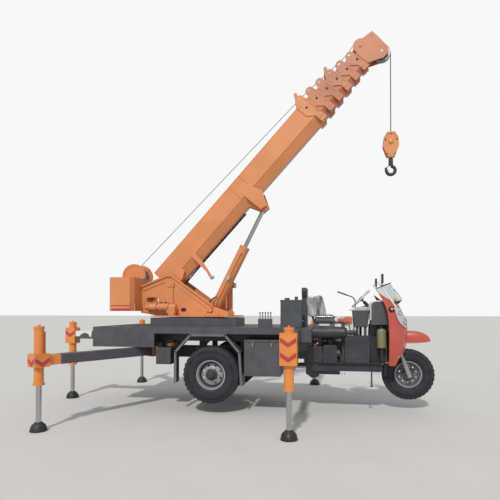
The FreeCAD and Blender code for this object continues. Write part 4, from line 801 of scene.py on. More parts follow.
# The beams are dark where they run in their boxes; columns: body, x, y, z limits from the rear axle.
SKIN = 0.0002
BEAMS = [("front_beam_near", (1.17, 1.29), (-1.6, -0.31), (1.065, 1.235)),
         ("front_beam_far", (1.31, 1.43), (0.31, 1.77), (1.065, 1.235)),
         ("tail_beam", (-2.602, -1.66), (-0.065, 0.065), (1.02, 1.15))]
for body, x, y, z in BEAMS:
    skin = Shape()
    for level in (y if body == "tail_beam" else x):
        thin = (level - SKIN, level + SKIN)
        skin.box(*((x, thin, z) if body == "tail_beam" else (thin, y, z)))
    for level in z:
        skin.box(x, y, (level - SKIN, level + SKIN))
    skin.make(f"{body}_dark", "chassis_grey", body)
# A thin white skin on the tail beam's sides and top, with an arched gap low on each side.
bracket = Shape()
bracket.pair_plate([(-2.6, 1.06), (-2.6, 1.1502), (-2.3, 1.1502), (-2.31, 1.052), (-2.34, 1.052),
                    (-2.362, 1.1), (-2.42, 1.122), (-2.48, 1.106), (-2.53, 1.06)], (0.06512, 0.06523))
bracket.box((-2.6, -2.3), (-0.0652, 0.0652), (1.15015, 1.15023))
bracket.make("tail_bracket_paint", "white_plate", "tail_beam")


# Deck and chassis dress
deck = Shape()
deck.pair((DECK_BACK + 0.01, 1.12), (0.764, 0.788), (DECK_TOP, DECK_TOP + 0.004))
deck.box((DECK_BACK + 0.002, DECK_BACK + 0.03), (-0.78, 0.78), (DECK_TOP, DECK_TOP + 0.004))
deck.make("deck_edges", "chassis_grey", bevel=0.001)
checker = Shape(BARE)
checker.lathe([(0.013, -0.001), (0.009, 0.0016)], Matrix.Diagonal((1, 0.26, 1, 1)), 8)
CHECK = template(checker, "checker_template")
places = []
GRID = 0.052
for i in range(56):
    for j in range(29):
        x, y = -1.78 + i * GRID, -0.74 + j * GRID
        if x > 1.1 or (-1.1 < x < 0.28 and abs(y) < 0.47):
            continue
        places.append(turned(*spot(x, y, DECK_TOP), "Z", 45 if (i + j) % 2 else -45))
repeat("deck_tread", CHECK, places, "chassis", "chassis_grey")
places = []
for side in (-1, 1):
    for k in range(12):
        places.append(facing(HOME, -1.75 + k * 0.255, side * 0.8, 1.2, (0, side, 0)))
repeat("deck_rivets", RIVET, places, "chassis", "chassis_grey", size=1.4)
box_trim = Shape()
for side, low in ((-1, 0.56), (1, 0.64)):
    box_trim.box((0.51, 0.97), sorted((side * 0.769, side * 0.773)), (low + 0.03, 0.975))
for x in (0.6, 0.87):
    box_trim.pair((x - 0.018, x + 0.032), (0.782, 0.79), (1.0, 1.04))
box_trim.make("box_trim", "chassis_grey", bevel=0.002)
latch = Shape()
for x in (0.605, 0.875):
    latch.pair((x - 0.004, x + 0.004), (0.79, 0.797), (0.975, 1.03))
    for side in (-1, 1):
        latch.rod((x, side * 0.784, 0.998), (x, side * 0.796, 0.998), 0.009)
latch.make("box_latches", "bright_steel", bevel=0.001)
caps = Shape()
for x, side in ((1.37, -1), (1.23, 1)):
    caps.box((x - 0.068, x + 0.068), sorted((side * 0.803, side * 0.809)), (1.058, 1.242))
    caps.box((x - 0.045, x + 0.045), sorted((side * 0.809, side * 0.812)), (1.085, 1.215))
caps.make("beam_box_caps", "chassis_grey", bevel=0.002)
edges = Shape()
# The outline of a fender's edge: place from the rear axle and height.
ARCH = [(-0.56, 0.44), (-0.56, 0.9), (-0.32, 1.157), (0.21, 1.157), (0.43, 0.9), (0.46, 0.42)]
for (xa, za), (xb, zb) in zip(ARCH, ARCH[1:]):
    across = Vector((zb - za, 0, xa - xb)).normalized() * 0.034
    edges.pair_plate([(xa, za), (xb, zb), (xb + across.x, zb + across.z), (xa + across.x, za + across.z)],
                     (0.7985, 0.8025))
edges.make("fender_edges", "edge_grey", bevel=0.001)
Shape().pair((-0.568, -0.562), (0.605, 0.795), (0.43, 0.72)).make("mud_flaps", "grip_black", bevel=0.002)
ribs = Shape()
for k in range(9):
    x = -0.852 + k * 0.0235
    ribs.box((x, x + 0.011), (-0.7445, -0.739), (0.715, 0.905))
ribs.box((-0.868, -0.637), (-0.7425, -0.43), (0.918, 0.944))
ribs.make("battery_ribs", "chassis_grey", bevel=0.0015)
for name, look, bevel, x, y, z in (
        ("tail_lamp_cases", "grip_black", 0.004, (-1.872, -1.85), (0.58, 0.74), (1.05, 1.13)),
        ("tail_lenses", "red_lens", 0.003, (-1.88, -1.871), (0.66, 0.735), (1.056, 1.124)),
        ("tail_indicators", "amber_lens", 0.003, (-1.88, -1.871), (0.585, 0.65), (1.056, 1.124))):
    Shape().pair(x, y, z).make(name, look, bevel=bevel)


# Cab
def boxes(name, look, bevel, *rows):
    """A piece of the chassis made of plain boxes: x, y and z limits in each row."""
    shape = Shape()
    for row in rows:
        shape.box(row[0:2], row[2:4], row[4:6])
    return shape.make(name, look, bevel=bevel)


boxes("seat_pan", "dark_steel", 0.004, (1.455, 1.925, -0.305, 0.305, 1.3, 1.322))


def pad(name, node, place, size, look, cap, channels):
    """A stuffed pad: blown up as cloth from a smaller block, then sewn into channels."""
    block = bmesh.new()
    bmesh.ops.create_cube(block, size=1.0)
    for vert in block.verts:
        vert.co = Vector((vert.co.x * (size[0] - cap), vert.co.y * (size[1] - cap),
                          vert.co.z * (size[2] - 2 * cap)))
    bmesh.ops.bevel(block, geom=block.edges[:], offset=0.02, segments=3, profile=0.6, affect="EDGES")
    data = bpy.data.meshes.new(name)
    block.to_mesh(data)
    block.free()
    piece = link_piece(name, data)
    even = piece.modifiers.new("even", "REMESH")
    even.mode = "VOXEL"
    even.voxel_size = 0.008
    plain = bpy.data.meshes.new_from_object(piece.evaluated_get(bpy.context.evaluated_depsgraph_get()))
    piece.modifiers.clear()
    piece.data = plain
    start = [vert.co.copy() for vert in plain.vertices]
    cloth = piece.modifiers.new("stuffing", "CLOTH")
    cloth.settings.use_pressure = True
    cloth.settings.uniform_pressure_force = 4
    cloth.settings.effector_weights.gravity = 0
    for step in range(1, 21):
        bpy.context.scene.frame_set(step)
    blown = piece.evaluated_get(bpy.context.evaluated_depsgraph_get())
    ends = [vert.co.copy() for vert in blown.data.vertices]
    piece.modifiers.clear()
    bpy.context.scene.frame_set(1)
    for vert, a, b in zip(plain.vertices, start, ends):
        move = b - a
        if move.length > cap:
            move *= cap / move.length
        vert.co = a + move
    for vert in plain.vertices:
        u, v = vert.co.x / size[0] * 2, vert.co.y / size[1] * 2
        if vert.co.z > 0:
            crown = (1 - min(abs(u), 1) ** 3) * (1 - min(abs(v), 1) ** 3)
            sewn = sum(math.exp(-((v - line) / 0.03) ** 2) for line in channels)
            vert.co.z += 0.01 * crown - 0.009 * sewn * crown
        vert.co = place @ vert.co
    for face in plain.polygons:
        face.use_smooth = True
    plain.materials.clear()
    plain.materials.append(paint(look))
    fine = piece.modifiers.new("soft", "SUBSURF")
    fine.levels = fine.render_levels = 1
    if node:
        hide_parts(node)
    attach(piece, "chassis")
    return piece


cushion_at = Matrix.Translation(spot(1.612, 0, 1.372))
pad("seat_cushion_pad", "seat_cushion", cushion_at, (0.32, 0.6, 0.115), "seat_vinyl", 0.012,
    (-0.36, 0.0, 0.36))
for name, node, x, y, z, lean, tall in (("near", "seat_back", 1.416, -0.153, 1.56, 4, 0.33),
                                        ("far", None, 1.53, 0.153, 1.572, 13, 0.35)):
    back_at = turned(*spot(x, y, z), "Y", 90 - lean)
    pad(f"seat_back_pad_{name}", node, back_at, (tall, 0.295, 0.135), "seat_film", 0.012, (-0.4, 0.4))
piping = Shape(cushion_at)
for z in (-0.04, 0.026):
    piping.tube([(-0.14, -0.293, z), (0.135, -0.293, z), (0.153, -0.27, z), (0.156, 0, z), (0.153, 0.27, z),
                 (0.135, 0.293, z), (-0.14, 0.293, z)], 0.0045, 8, 5)
piping.make("seat_piping", "grip_black")
stays = Shape()
for y in (-0.25, -0.06, 0.06, 0.25):
    line = (1.48, 1.45, 1.425, 1.42) if y < 0 else (1.5, 1.545, 1.56, 1.545)
    stays.tube([(x, y, z) for x, z in zip(line, (1.311, 1.345, 1.42, 1.5))], 0.012, 10)
stays.make("seat_back_stays", "dark_steel")
boxes("seat_skirt", "seat_vinyl", 0.006, (1.445, 1.765, -0.298, -0.28, 1.205, 1.318),
      (1.445, 1.765, 0.28, 0.298, 1.205, 1.318), (1.747, 1.765, -0.29, 0.29, 1.205, 1.318))
boxes("seat_label", "white_plate", 0, (1.53, 1.685, -0.3015, -0.297, 1.272, 1.298))
lever = Shape()
lever.tube([(2.06, 0.24, 0.75), (2.07, 0.24, 1.3), (2.09, 0.245, 1.6), (2.06, 0.245, 1.7),
            (1.96, 0.24, 1.745), (1.81, 0.23, 1.8)], 0.009, 8)
lever.tube([(2.02, 0.16, 0.75), (2.01, 0.17, 1.1), (1.99, 0.17, 1.3)], 0.008, 8)
lever.make("gear_levers", "dark_steel")
knob = Shape()
for k in range(9):
    knob.lathe([(0.0105, -0.006), (0.015, 0), (0.0105, 0.006)],
               turned(1.815 + 0.017 * k, 0.231 + 0.0011 * k, 1.798 - 0.0062 * k, "Y", 110), 12)
knob.lathe([(0.008, -0.024), (0.018, -0.016), (0.023, 0), (0.018, 0.016), (0.008, 0.024)],
           Matrix.Translation((1.99, 0.17, 1.32)), 20)
knob.make("lever_knobs", "grip_black")
pedals = Shape()
for y in (-0.3, -0.18, 0.26):
    pedals.rod((2.3, y, 0.745), (2.24, y, 0.9), 0.01)
    pedals.box((2.2, 2.215), (y - 0.045, y + 0.045), (0.87, 0.96))
pedals.make("pedals", "dark_steel", bevel=0.003)
wrap = Shape(turned(*spot(WHEELBASE - 0.69, 0, 1.68), "Y", -45))
wrap.ring([(0.176 + 0.0165 * math.cos(math.pi * k / 6), 0.0165 * math.sin(math.pi * k / 6))
           for k in range(12)], sides=56)
wrap.make("hand_wheel_wrap", "pale_film", "hand_wheel")
dash = Shape()
dash.plate([(2.052, 1.245), (2.255, 1.245), (2.275, 1.5), (2.03, 1.5)], -0.13, 0.13)
for x, y in ((2.1, -0.09), (2.22, -0.09), (2.16, 0.09)):
    dash.box((x - 0.02, x + 0.02), (y - 0.02, y + 0.02), (0.74, 1.25))
dash_piece = dash.make("dash_box", "chassis_grey", bevel=0.01)
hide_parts("dash_units")
lid = Shape()
lid.plate([(1.985, 1.498), (2.285, 1.498), (2.285, 1.546), (2.13, 1.56), (2.062, 1.528), (1.985, 1.515)],
          -0.138, 0.138)
lid.make("dash_lid", "pale_film", bevel=0.005)
boxes("dash_lid_line", "grip_black", 0, (2.08, 2.286, -0.1395, 0.1395, 1.517, 1.523))
gauge, dial = Shape(), Shape()
for y in (-0.08, 0.08):
    tilted = turned(2.205, y, 1.55, "Y", -14)
    gauge.lathe([(0.04, 0), (0.04, 0.016), (0.034, 0.018)], tilted, 28)
    dial.lathe([(0.032, 0.0182), (0.032, 0.0192)], tilted, 28)
gauge.make("gauge_cases", "grip_black")
dial.make("gauge_dials", "white_plate")


def corner(x, z, radius, first, last, steps=6):
    """Points of a rounded corner round its centre."""
    angles = [math.radians(first + (last - first) * k / steps) for k in range(steps + 1)]
    return [(x + radius * math.cos(a), z + radius * math.sin(a)) for a in angles]


control = Shape()
control.plate([(2.287, 1.288)] + corner(2.357, 1.56, 0.07, 180, 90)
              + corner(2.495, 1.6, 0.03, 90, 0) + [(2.525, 1.288)], -0.34, -0.06)
control.make("control_box", "chassis_grey", bevel=0.006)
roll = Shape()
arch_line = ([(2.283, 1.36), (2.283, 1.46)] + corner(2.357, 1.56, 0.074, 180, 90)
             + [(2.42, 1.635), (2.5, 1.632)])
for y in (-0.332, -0.068):
    roll.tube([(x, y, z) for x, z in arch_line], 0.012, 10, 3)
roll.plate(arch_line + [(x + 0.003, z - 0.004) for x, z in arch_line[::-1]], -0.332, -0.068)
roll.make("control_box_roll", "pale_film")
pedestal = Shape()
for y in ((-0.145, -0.137), (0.137, 0.145)):
    pedestal.plate([(2.286, 1.289), (2.53, 1.289), (2.538, 0.741), (2.262, 0.741)], y[0], y[1])
pedestal.box((2.262, 2.27), (-0.145, 0.145), (0.741, 1.08))
pedestal.make("dash_pedestal", "dark_steel", bevel=0.002)
can = Shape(Matrix.Translation(spot(2.445, -0.222, 0)))
can.lathe([(0.06, 0.94), (0.0695, 0.948), (0.0695, 1.18), (0.066, 1.208), (0.05, 1.232), (0.02, 1.242),
           (0.02, 1.262), (0.01, 1.266)], sides=36)
can.ring([(0.069, 1.1), (0.0705, 1.1), (0.0705, 1.115), (0.069, 1.115)], sides=36)
can.make("olive_canister", "olive_can")
post = Shape()
post.rod((2.445, -0.222, 0.741), (2.445, -0.222, 0.945), 0.03)
post.box((2.38, 2.51), (-0.24, -0.14), (1.02, 1.05))
post.make("canister_post", "dark_steel", bevel=0.002)
valves = Shape()
valves.plate(corner(1.828, 1.352, 0.026, 180, 90) + corner(1.862, 1.362, 0.03, 90, 0)
             + [(1.892, 1.323), (1.802, 1.323)], -0.165, -0.055)
valves.plate(corner(1.93, 1.372, 0.034, 180, 90) + corner(1.984, 1.368, 0.04, 90, 0)
             + corner(1.984, 1.316, 0.04, 0, -60) + [(1.93, 1.284), (1.896, 1.31)], -0.17, -0.04)
valves.rod((1.955, -0.168, 1.345), (1.955, -0.19, 1.345), 0.028)
valves.rod((1.85, -0.163, 1.35), (1.85, -0.18, 1.35), 0.016)
valves.make("valve_covers", "copper_red", bevel=0.006)
shelf = Shape()
shelf.plate([(1.88, 1.299), (1.92, 1.299), (1.93, 1.283), (1.985, 1.274), (1.985, 1.262), (1.905, 1.27),
             (1.88, 1.288)], -0.175, -0.035)
shelf.make("valve_shelf", "bright_steel", bevel=0.002)


def sheet_piece(name, look, points, rows, thick, sharp=60, node=None, flip=False, tip=None):
    """A sheet through columns of points, given a wall; flip turns its faces over."""
    faces = []
    for i in range(len(points) // rows - 1):
        for k in range(rows - 1):
            a = i * rows + k
            faces.append((a, a + 1, a + rows + 1, a + rows) if flip else (a, a + rows, a + rows + 1, a + 1))
    if tip:
        faces.append(tip)
    piece = Shape()._add(points, faces).make(name, look, sharp=sharp)
    wall = piece.modifiers.new("wall", "SOLIDIFY")
    wall.thickness = thick
    wall.offset = -1
    if node:
        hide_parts(node)
    return piece


# The cowl's rows: height, side edge, nose and half width.
COWL = [(0.6, 2.53, 2.66, 0.36), (0.694, 2.538, 2.714, 0.37), (0.791, 2.538, 2.753, 0.4),
        (0.916, 2.537, 2.791, 0.435), (1.059, 2.536, 2.822, 0.45), (1.202, 2.534, 2.841, 0.45),
        (1.298, 2.53, 2.824, 0.45), (1.393, 2.524, 2.797, 0.45), (1.521, 2.502, 2.742, 0.438),
        (1.6, 2.475, 2.7, 0.42), (1.68, 2.435, 2.65, 0.405), (1.8, 2.365, 2.59, 0.39)]
ROUND = 0.77


def cowl_row(z):
    """Side edge, nose and half width at a height, averaged over a short span."""
    sums = [0.0, 0.0, 0.0]
    for shift in (-0.06, -0.03, 0.0, 0.03, 0.06):
        level = min(max(z + shift, COWL[0][0]), COWL[-1][0])
        for a, b in zip(COWL, COWL[1:]):
            if level <= b[0]:
                part = (level - a[0]) / (b[0] - a[0])
                for k in range(3):
                    sums[k] += (a[k + 1] + (b[k + 1] - a[k + 1]) * part) / 5
                break
    return sums


def cowl_spot(s, z, off=0.0):
    """A point on the cowl at a height; s runs from -1 to 1 round it, and off is outward."""
    def bare_spot(s, z):
        edge, nose, half = cowl_row(z)
        a = math.radians(90 * s)
        across = half * math.copysign(abs(math.sin(a)) ** ROUND, a)
        return Vector((edge + (nose - edge) * max(math.cos(a), 0) ** ROUND, across, z))
    here = bare_spot(s, z)
    if off:
        t = min(max(s, -0.97), 0.97)
        round_way = bare_spot(t + 0.02, z) - bare_spot(t - 0.02, z)
        up_way = bare_spot(t, z + 0.02) - bare_spot(t, z - 0.02)
        here += round_way.cross(up_way).normalized() * off
    return here


def cowl_limits(s):
    """The lowest and highest level of the cowl at a place round it: wheel arch and sloped top."""
    share = abs(math.sin(math.radians(90 * s))) ** ROUND
    low = 1.0
    for turn in range(8):
        y = cowl_row(low)[2] * share
        low = 0.7 + math.sqrt(max(0.35 ** 2 - y * y, 0))
    low = max(low, 0.692)
    high = 1.6
    for turn in range(12):
        x = cowl_spot(s, high).x
        high = 1.601 + ((2.585 - x) * 0.755 if x < 2.585 else (x - 2.585) * 0.3)
    return low, high


def cowl_sheet(name, off, look, thick, edge=0.0, node=None):
    """The cowl's shell, or a sheet at a distance from it."""
    columns, rows = 48, 26
    points = []
    for i in range(columns + 1):
        s = -1 + 2 * i / columns
        low, high = cowl_limits(s)
        for k in range(rows + 1):
            z = low + edge + (high - low - 2 * edge) * k / rows
            points.append(cowl_spot(s, z, off))
    return sheet_piece(name, look, points, rows + 1, thick, node=node)


cowl_sheet("cowl_shell", 0.0, "cowl_red", 0.007, node="cowl")
# A black sheet just inside the shell makes the cowl's inner face dark.
cowl_sheet("cowl_liner", -0.0075, "grip_black", 0.002, 0.012)
hem = Shape()
for side in (-1, 1):
    low, high = cowl_limits(side)
    hem.tube([cowl_spot(side, low + (high - low) * k / 12) for k in range(13)], 0.0085, 10, 2)
hem.pair((2.485, 2.552), (0.34, 0.366), (0.73, 0.752))
hem.tube([cowl_spot(s / 24, cowl_limits(s / 24)[1]) for s in range(-24, 25)], 0.0075, 8, 2)
hem.tube([cowl_spot(s / 24, cowl_limits(s / 24)[0]) for s in range(-23, 24)], 0.007, 8, 2)
hem.make("cowl_hem", "cowl_red")


def outward(s, z, off):
    """A matrix on the cowl whose Z looks outward."""
    way = (cowl_spot(s, z, 0.1) - cowl_spot(s, z, 0.05)).normalized()
    return Matrix.Translation(cowl_spot(s, z, off)) @ way.to_track_quat("Z", "Y").to_matrix().to_4x4()


# Headlamps; columns of the outline: place round the cowl, and height.
LAMP = [(0.74, 1.55), (0.56, 1.53), (0.38, 1.42), (0.31, 1.32), (0.35, 1.245), (0.54, 1.25),
        (0.7, 1.3), (0.78, 1.37), (0.8, 1.45), (0.79, 1.52)]
lens, rim, bulb = Shape(), Shape(), Shape()
middle = (sum(s for s, z in LAMP) / len(LAMP), sum(z for s, z in LAMP) / len(LAMP))
outline = smooth_line([Vector((s, z, 0)) for s, z in LAMP + LAMP[:1]], 4)[:-1]
for side in (-1, 1):
    points, faces, count = [], [], len(outline)
    for share, rise in ((1, 0.001), (1, 0.01), (0.9, 0.018), (0.65, 0.026), (0.35, 0.03), (0.08, 0.031)):
        for spot_2d in outline:
            s = middle[0] + (spot_2d.x - middle[0]) * share
            z = middle[1] + (spot_2d.y - middle[1]) * share
            points.append(cowl_spot(side * s, z, rise))
    for first in range(0, 5 * count, count):
        for k in range(count):
            n = (k + 1) % count
            faces.append((first + k, first + n, first + count + n, first + count + k))
    faces.append(tuple(range(count))[::-1])
    faces.append(tuple(range(5 * count, 6 * count)))
    lens._add(points, faces)
    loop = [cowl_spot(side * p.x, p.y, 0.006) for p in outline]
    rim.tube(loop + loop[:2], 0.0065, 8, 1)
    for s, z, radius in ((0.52, 1.335, 0.05), (0.66, 1.45, 0.036)):
        bulb.ring([(radius - 0.006, -0.006), (radius, -0.006), (radius, 0.003), (radius - 0.006, 0.003)],
                  outward(side * s, z, 0.0265), 32)
lens_piece = lens.make("lamp_lenses", "lamp_lens", sharp=60)
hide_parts("headlamps")
rim.make("lamp_rims", "cowl_red")
bulb.make("lamp_rings", "sheave_steel")
pod, indicator = Shape(), Shape()
for side in (-1, 1):
    away = outward(side * 0.885, 1.515, 0.0)
    pod.lathe([(0.045, -0.01), (0.045, 0.01), (0.036, 0.02)], away, 28)
    indicator.lathe([(0.018, 0.018), (0.017, 0.023), (0.008, 0.026)], away, 24)
    at = cowl_spot(side * 0.5, 1.628, 0.0)
    pod.rod(tuple(at - Vector((0, 0, 0.02))), tuple(at + Vector((0.004, 0, 0.018))), 0.012)
    indicator.lathe([(0.01, 0.016), (0.026, 0.022), (0.03, 0.042), (0.022, 0.06), (0.008, 0.064)],
                    Matrix.Translation(at), 20)
pod.make("indicator_pods", "grip_black")
indicator.make("indicators", "amber_lens")


def screen_spot(t, v, off=0.0):
    """A point on the windscreen: t from -1 to 1 across it, v from 0 to 1 up it."""
    bend = max(math.cos(math.pi / 2 * t), 0) ** 0.8
    side_z, mid_z = 1.606 + 0.249 * v, 1.645 + 0.27 * v
    edge, nose = 2.59 - 0.165 * v, 2.752 - 0.15 * v
    return Vector((edge + (nose - edge) * bend + off, (0.398 - 0.03 * v) * t,
                   side_z + (mid_z - side_z) * (1 - t * t)))


pane = [screen_spot(i / 12, k / 8) for i in range(-12, 13) for k in range(9)]
sheet_piece("windscreen_pane", "clear_glass", pane, 9, 0.005, node="windscreen")
strips, rubber = Shape(), Shape()
for side in (-1, 1):
    strips.tube([screen_spot(side, v / 4) for v in range(-1, 6)], 0.0125, 10, 2)
rubber.tube([screen_spot(t / 12, 0) for t in range(-12, 13)], 0.01, 8, 2)
rubber.tube([screen_spot(t / 12, 1) for t in range(-12, 13)], 0.007, 8, 2)
for t in (-0.62, 0.0, 0.62):
    foot_spot = screen_spot(t, 0)
    rubber.rod(tuple(foot_spot), (foot_spot.x - 0.045, foot_spot.y, foot_spot.z - 0.05), 0.01, sides=10)
strips.make("windscreen_strips", "white_plate")
rubber.make("windscreen_rubber", "grip_black")
wiper = Shape()
wiper.tube([screen_spot(-0.1, 0.03, 0.02), screen_spot(-0.3, 0.35, 0.02),
            screen_spot(-0.45, 0.7, 0.018)], 0.005, 6)
wiper.make("wiper", "dark_steel")
mirror, mirror_face = Shape(), Shape()
for side in (-1, 1):
    mirror.tube([screen_spot(side, 0.95), (2.435, side * 0.42, 1.88), (2.43, side * 0.455, 1.93)],
                0.007, 8, 5)
mirror.pair((2.42, 2.446), (0.405, 0.52), (1.885, 2.02))
mirror_face.pair((2.4165, 2.4215), (0.415, 0.51), (1.897, 2.008))
mirror.make("mirrors", "grip_black", bevel=0.008)
mirror_face.make("mirror_faces", "chrome_rod", bevel=0.001)

# Front mudguard; columns: place, crown height, lower edge and half width.
GUARD = [(2.775, 1.178, 1.012, 0.112), (2.86, 1.192, 1.014, 0.114), (2.94, 1.194, 1.017, 0.114),
         (3.01, 1.184, 1.022, 0.112), (3.07, 1.165, 1.028, 0.106), (3.12, 1.136, 1.034, 0.094),
         (3.155, 1.104, 1.04, 0.074), (3.172, 1.074, 1.044, 0.05)]
points, turns = [], 24
for x, crown, low, half in GUARD:
    for k in range(turns + 1):
        a = math.pi * k / turns
        across = half * math.copysign(abs(math.cos(a)) ** 0.55, math.cos(a))
        points.append((x, across, low + (crown - low) * abs(math.sin(a)) ** 0.6))
last = len(points) - turns - 1
sheet_piece("mudguard_shell", "cowl_red", points, turns + 1, 0.005, 50, "front_mudguard", True,
            tuple(range(last, last + turns + 1)))
lip = Shape()
for side in (-1, 1):
    lip.tube([(x, side * half, low) for x, crown, low, half in GUARD], 0.0055, 8, 4)
lip.make("mudguard_lip", "cowl_red")


# Engine dress
ENGINE_X = WHEELBASE - 1.41
engine = Shape()
for k in range(4):
    x = ENGINE_X + 0.13 + 0.095 * k
    engine.box((x - 0.035, x + 0.035), (-0.062, 0.062), (1.158, 1.17))
    engine.rod((x, 0, 1.166), (x, 0, 1.182), 0.009, sides=6)
    engine.tube([(x, -0.1, 1.1), (x, -0.145, 1.125), (x + 0.01, -0.2, 1.06), (x + 0.02, -0.214, 0.995)],
                0.006, 8)
    engine.rod((x, -0.098, 1.07), (x, -0.128, 1.098), 0.013)
for z in (0.79, 0.82, 0.85, 0.88, 0.91):
    engine.pair((ENGINE_X + 0.06, ENGINE_X + 0.48), (0.172, 0.18), (z, z + 0.01))
for k in range(9):
    x = ENGINE_X + 0.07 + k * 0.05
    engine.box((x, x + 0.006), (-0.119, 0.119), (0.514, 0.522))
engine.rings([(0.06, -0.004), (0.0665, -0.004), (0.0665, 0.004), (0.06, 0.004)],
             [turned(ENGINE_X + 0.27 + k * 0.028, -0.235, 0.85, "Y", 90) for k in range(5)], 36)
engine.lathe([(0.05, 0), (0.05, 0.004), (0.0495, 0.1), (0.046, 0.104)],
             Matrix.Translation((ENGINE_X + 0.25, -0.23, 0.958)), 32)
engine.make("engine_dress", "engine_iron", bevel=0.001)
fan = Shape()
fan_at = turned(ENGINE_X + 0.53, 0, 0.87, "Y", 90)
fan.lathe([(0.045, -0.01), (0.045, 0.012), (0.03, 0.018)], fan_at, 24)
for k in range(6):
    turn = spin("Z", 60 * k) @ spin("X", 24)
    fan.plate([(0.03, -0.024), (0.115, -0.04), (0.15, -0.03), (0.15, 0.034), (0.115, 0.038),
               (0.03, 0.022)], -0.0015, 0.0015, "XY", fan_at @ turn)
fan.make("cooling_fan", "bright_steel")
belt = Shape()
BELT = [(0.115, 0.9), (0.075, 0.965), (0, 0.995), (-0.05, 1.055), (-0.105, 1.066), (-0.147, 1.02),
        (-0.135, 0.93), (-0.122, 0.86), (-0.07, 0.768), (0.02, 0.745), (0.1, 0.8), (0.122, 0.86)]
belt.tube([(ENGINE_X + 0.508, y, z) for y, z in BELT + BELT[:1]], 0.007, 8)
belt.make("fan_belt", "hose_black")
places = []
for k in range(6):
    for side in (-1, 1):
        places.append(facing(HOME, ENGINE_X + 0.09 + 0.074 * k, side * 0.168, 0.958, (0, 0, 1)))
        places.append(facing(HOME, ENGINE_X + 0.07 + 0.062 * k, side * 0.1195, 0.7, (0, side, 0)))
repeat("engine_bolts", BOLT, places, "chassis", "bright_steel", size=0.8)
exhaust = Shape()
exhaust.tube([(ENGINE_X + 0.09, 0.185, 1.01), (ENGINE_X + 0.03, 0.2, 1.0), (ENGINE_X - 0.03, 0.24, 0.92),
              (ENGINE_X - 0.06, 0.25, 0.72), (ENGINE_X - 0.12, 0.25, 0.6), (1.1, 0.25, 0.585),
              (0.8, 0.25, 0.58), (0.5, 0.25, 0.58)], 0.024, 12)
exhaust.lathe([(0.03, 0), (0.068, 0.02), (0.068, 0.4), (0.03, 0.42)],
              turned(0.72, 0.25, 0.582, "Y", 90), 28)
exhaust.make("exhaust", "bright_steel")
strap = Shape()
strap.ring([(0.0895, -0.014), (0.0915, -0.014), (0.0915, 0.014), (0.0895, 0.014)],
           turned(1.745, *CLEANER, "Y", 90))
strap.box((1.733, 1.757), (-0.504, -0.488), (1.165, 1.2))
strap.make("tank_straps", "dark_steel")
bracket = Shape()
for x in (1.55, 1.8):
    bracket.plate([(-0.44, 1.095), (-0.34, 1.105), (-0.262, 1.1), (-0.262, 1.07), (-0.42, 1.07)],
                  x - 0.02, x + 0.02, "YZ")
bracket.make("tank_brackets", "dark_steel")
intake = Shape()
intake.tube([(1.98, -0.4, 1.175), (2.045, -0.4, 1.175), (2.075, -0.36, 1.13), (2.05, -0.27, 1.05),
             (1.99, -0.2, 1.02), (1.93, -0.15, 1.02)], 0.036, 14)
intake.make("intake_hose", "hose_black")

# The dark side panel between the seat and the dash, with its folded edges.
boxes("side_panel", "dark_steel", 0.002, (1.9, 2.262, -0.436, -0.43, 0.741, 1.135),
      (1.9, 2.262, -0.436, -0.405, 1.129, 1.137), (1.9, 1.908, -0.436, -0.4, 0.741, 1.135),
      (2.254, 2.262, -0.436, -0.4, 0.741, 1.135), (1.955, 2.205, -0.439, -0.434, 0.8, 1.075))
grille = Shape()
for x0, x1, top in ((1.36, 1.582, 0.972), (1.592, 1.794, 0.99)):
    grille.plate([(x0, 0.735)] + corner(x0 + 0.03, top - 0.03, 0.03, 180, 90)
                 + corner(x1 - 0.03, top - 0.03, 0.03, 90, 0) + [(x1, 0.735)], -0.428, -0.404)
    for k in range(6):
        x = x0 + 0.028 + k * (x1 - x0 - 0.068) / 5
        grille.box((x, x + 0.012), (-0.436, -0.426), (0.765, top - 0.04))
    for x in (x0 + 0.03, x1 - 0.03):
        grille.box((x - 0.015, x + 0.015), (-0.406, -0.33), (0.742, 0.765))
grille.make("side_grilles", "dark_steel", bevel=0.004)
step_rod = Shape()
step_rod.rod((2.285, -0.415, 0.72), (2.285, -0.415, 0.4), 0.011)
step_rod.box((2.262, 2.308), (-0.43, -0.4), (0.395, 0.41))
step_rod.make("step_rod", "dark_steel", bevel=0.001)
prop = Shape()
prop.rod((0.14, 0, 0.575), (1.42, 0, 0.66), 0.03)
prop.lathe([(0.05, 0), (0.05, 0.05)], turned(0.14, 0, 0.575, "Y", 90), 24)
prop.make("drive_shaft", "dark_steel")

for piece in templates:
    bpy.data.objects.remove(piece)


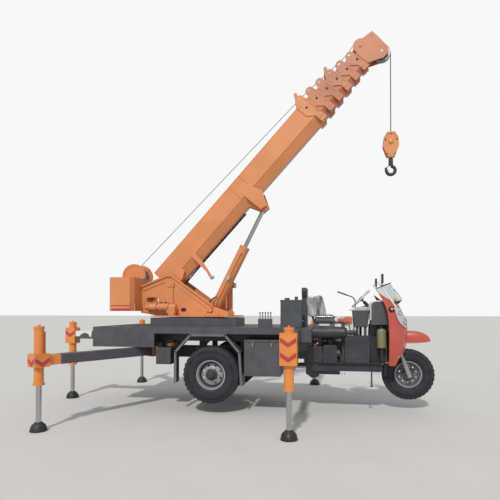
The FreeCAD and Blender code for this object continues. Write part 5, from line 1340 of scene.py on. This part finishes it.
# Stage, light and camera
def stage():
    """A pale floor, a soft sky that is white to the camera, and the sun."""
    mat = bpy.data.materials.new("pale_floor")
    mat.use_nodes = True
    tree = mat.node_tree
    shader = tree.nodes["Principled BSDF"]
    shader.inputs["Roughness"].default_value = 0.9
    where = add_node(tree, "TexCoord", {}).outputs["Object"]
    grain = add_node(tree, "TexNoise", {"Scale": 1.4, "Vector": where}).outputs["Fac"]
    tone = add_node(tree, "Mix", {"A": (0.6, 0.585, 0.56, 1), "B": (0.66, 0.645, 0.62, 1), "Factor": grain},
                    data_type="RGBA")
    tree.links.new(tone.outputs["Result"], shader.inputs["Base Color"])
    bpy.ops.mesh.primitive_plane_add(size=240, location=(0, 0, 0))
    floor = bpy.context.object
    floor.name = "floor"
    floor.data.materials.append(mat)
    floor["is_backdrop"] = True
    world = bpy.data.worlds.new("soft_sky")
    bpy.context.scene.world = world
    world.use_nodes = True
    tree = world.node_tree
    background = tree.nodes["Background"]
    background.inputs["Color"].default_value = (0.86, 0.9, 0.95, 1)
    background.inputs["Strength"].default_value = 0.62
    white = add_node(tree, "Background", {"Color": (0.93, 0.94, 0.95, 1), "Strength": 1.0})
    seen = add_node(tree, "LightPath", {}).outputs["Is Camera Ray"]
    mix = add_node(tree, "MixShader", {"Fac": seen, 1: background.outputs["Background"],
                                       2: white.outputs["Background"]})
    tree.links.new(mix.outputs["Shader"], tree.nodes["World Output"].inputs["Surface"])
    sun = bpy.data.lights.new("sun", "SUN")
    sun.energy = 2.1
    sun.angle = math.radians(3)
    sun.color = (1.0, 0.96, 0.9)
    lamp = link_piece("sun", sun)
    lamp.rotation_euler = (math.radians(42), math.radians(-22), math.radians(20))


def camera():
    """The photograph's camera."""
    data = bpy.data.cameras.new("camera")
    data.sensor_width = SENSOR
    data.lens = FOCAL / PHOTO * SENSOR
    data.shift_x, data.shift_y = -0.0197, 0.11
    data.clip_end = 400
    eye = link_piece("camera", data)
    heading, pitch = 0.1648, 0.0132
    look = Vector((-math.sin(heading) * math.cos(pitch), math.cos(heading) * math.cos(pitch),
                   math.sin(pitch)))
    eye.location = spot(1.731, -6.921, 1.494)
    eye.rotation_euler = look.to_track_quat("-Z", "Y").to_euler()
    bpy.context.scene.camera = eye


stage()
camera()
bpy.context.scene.view_settings.view_transform = "Standard"
low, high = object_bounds()
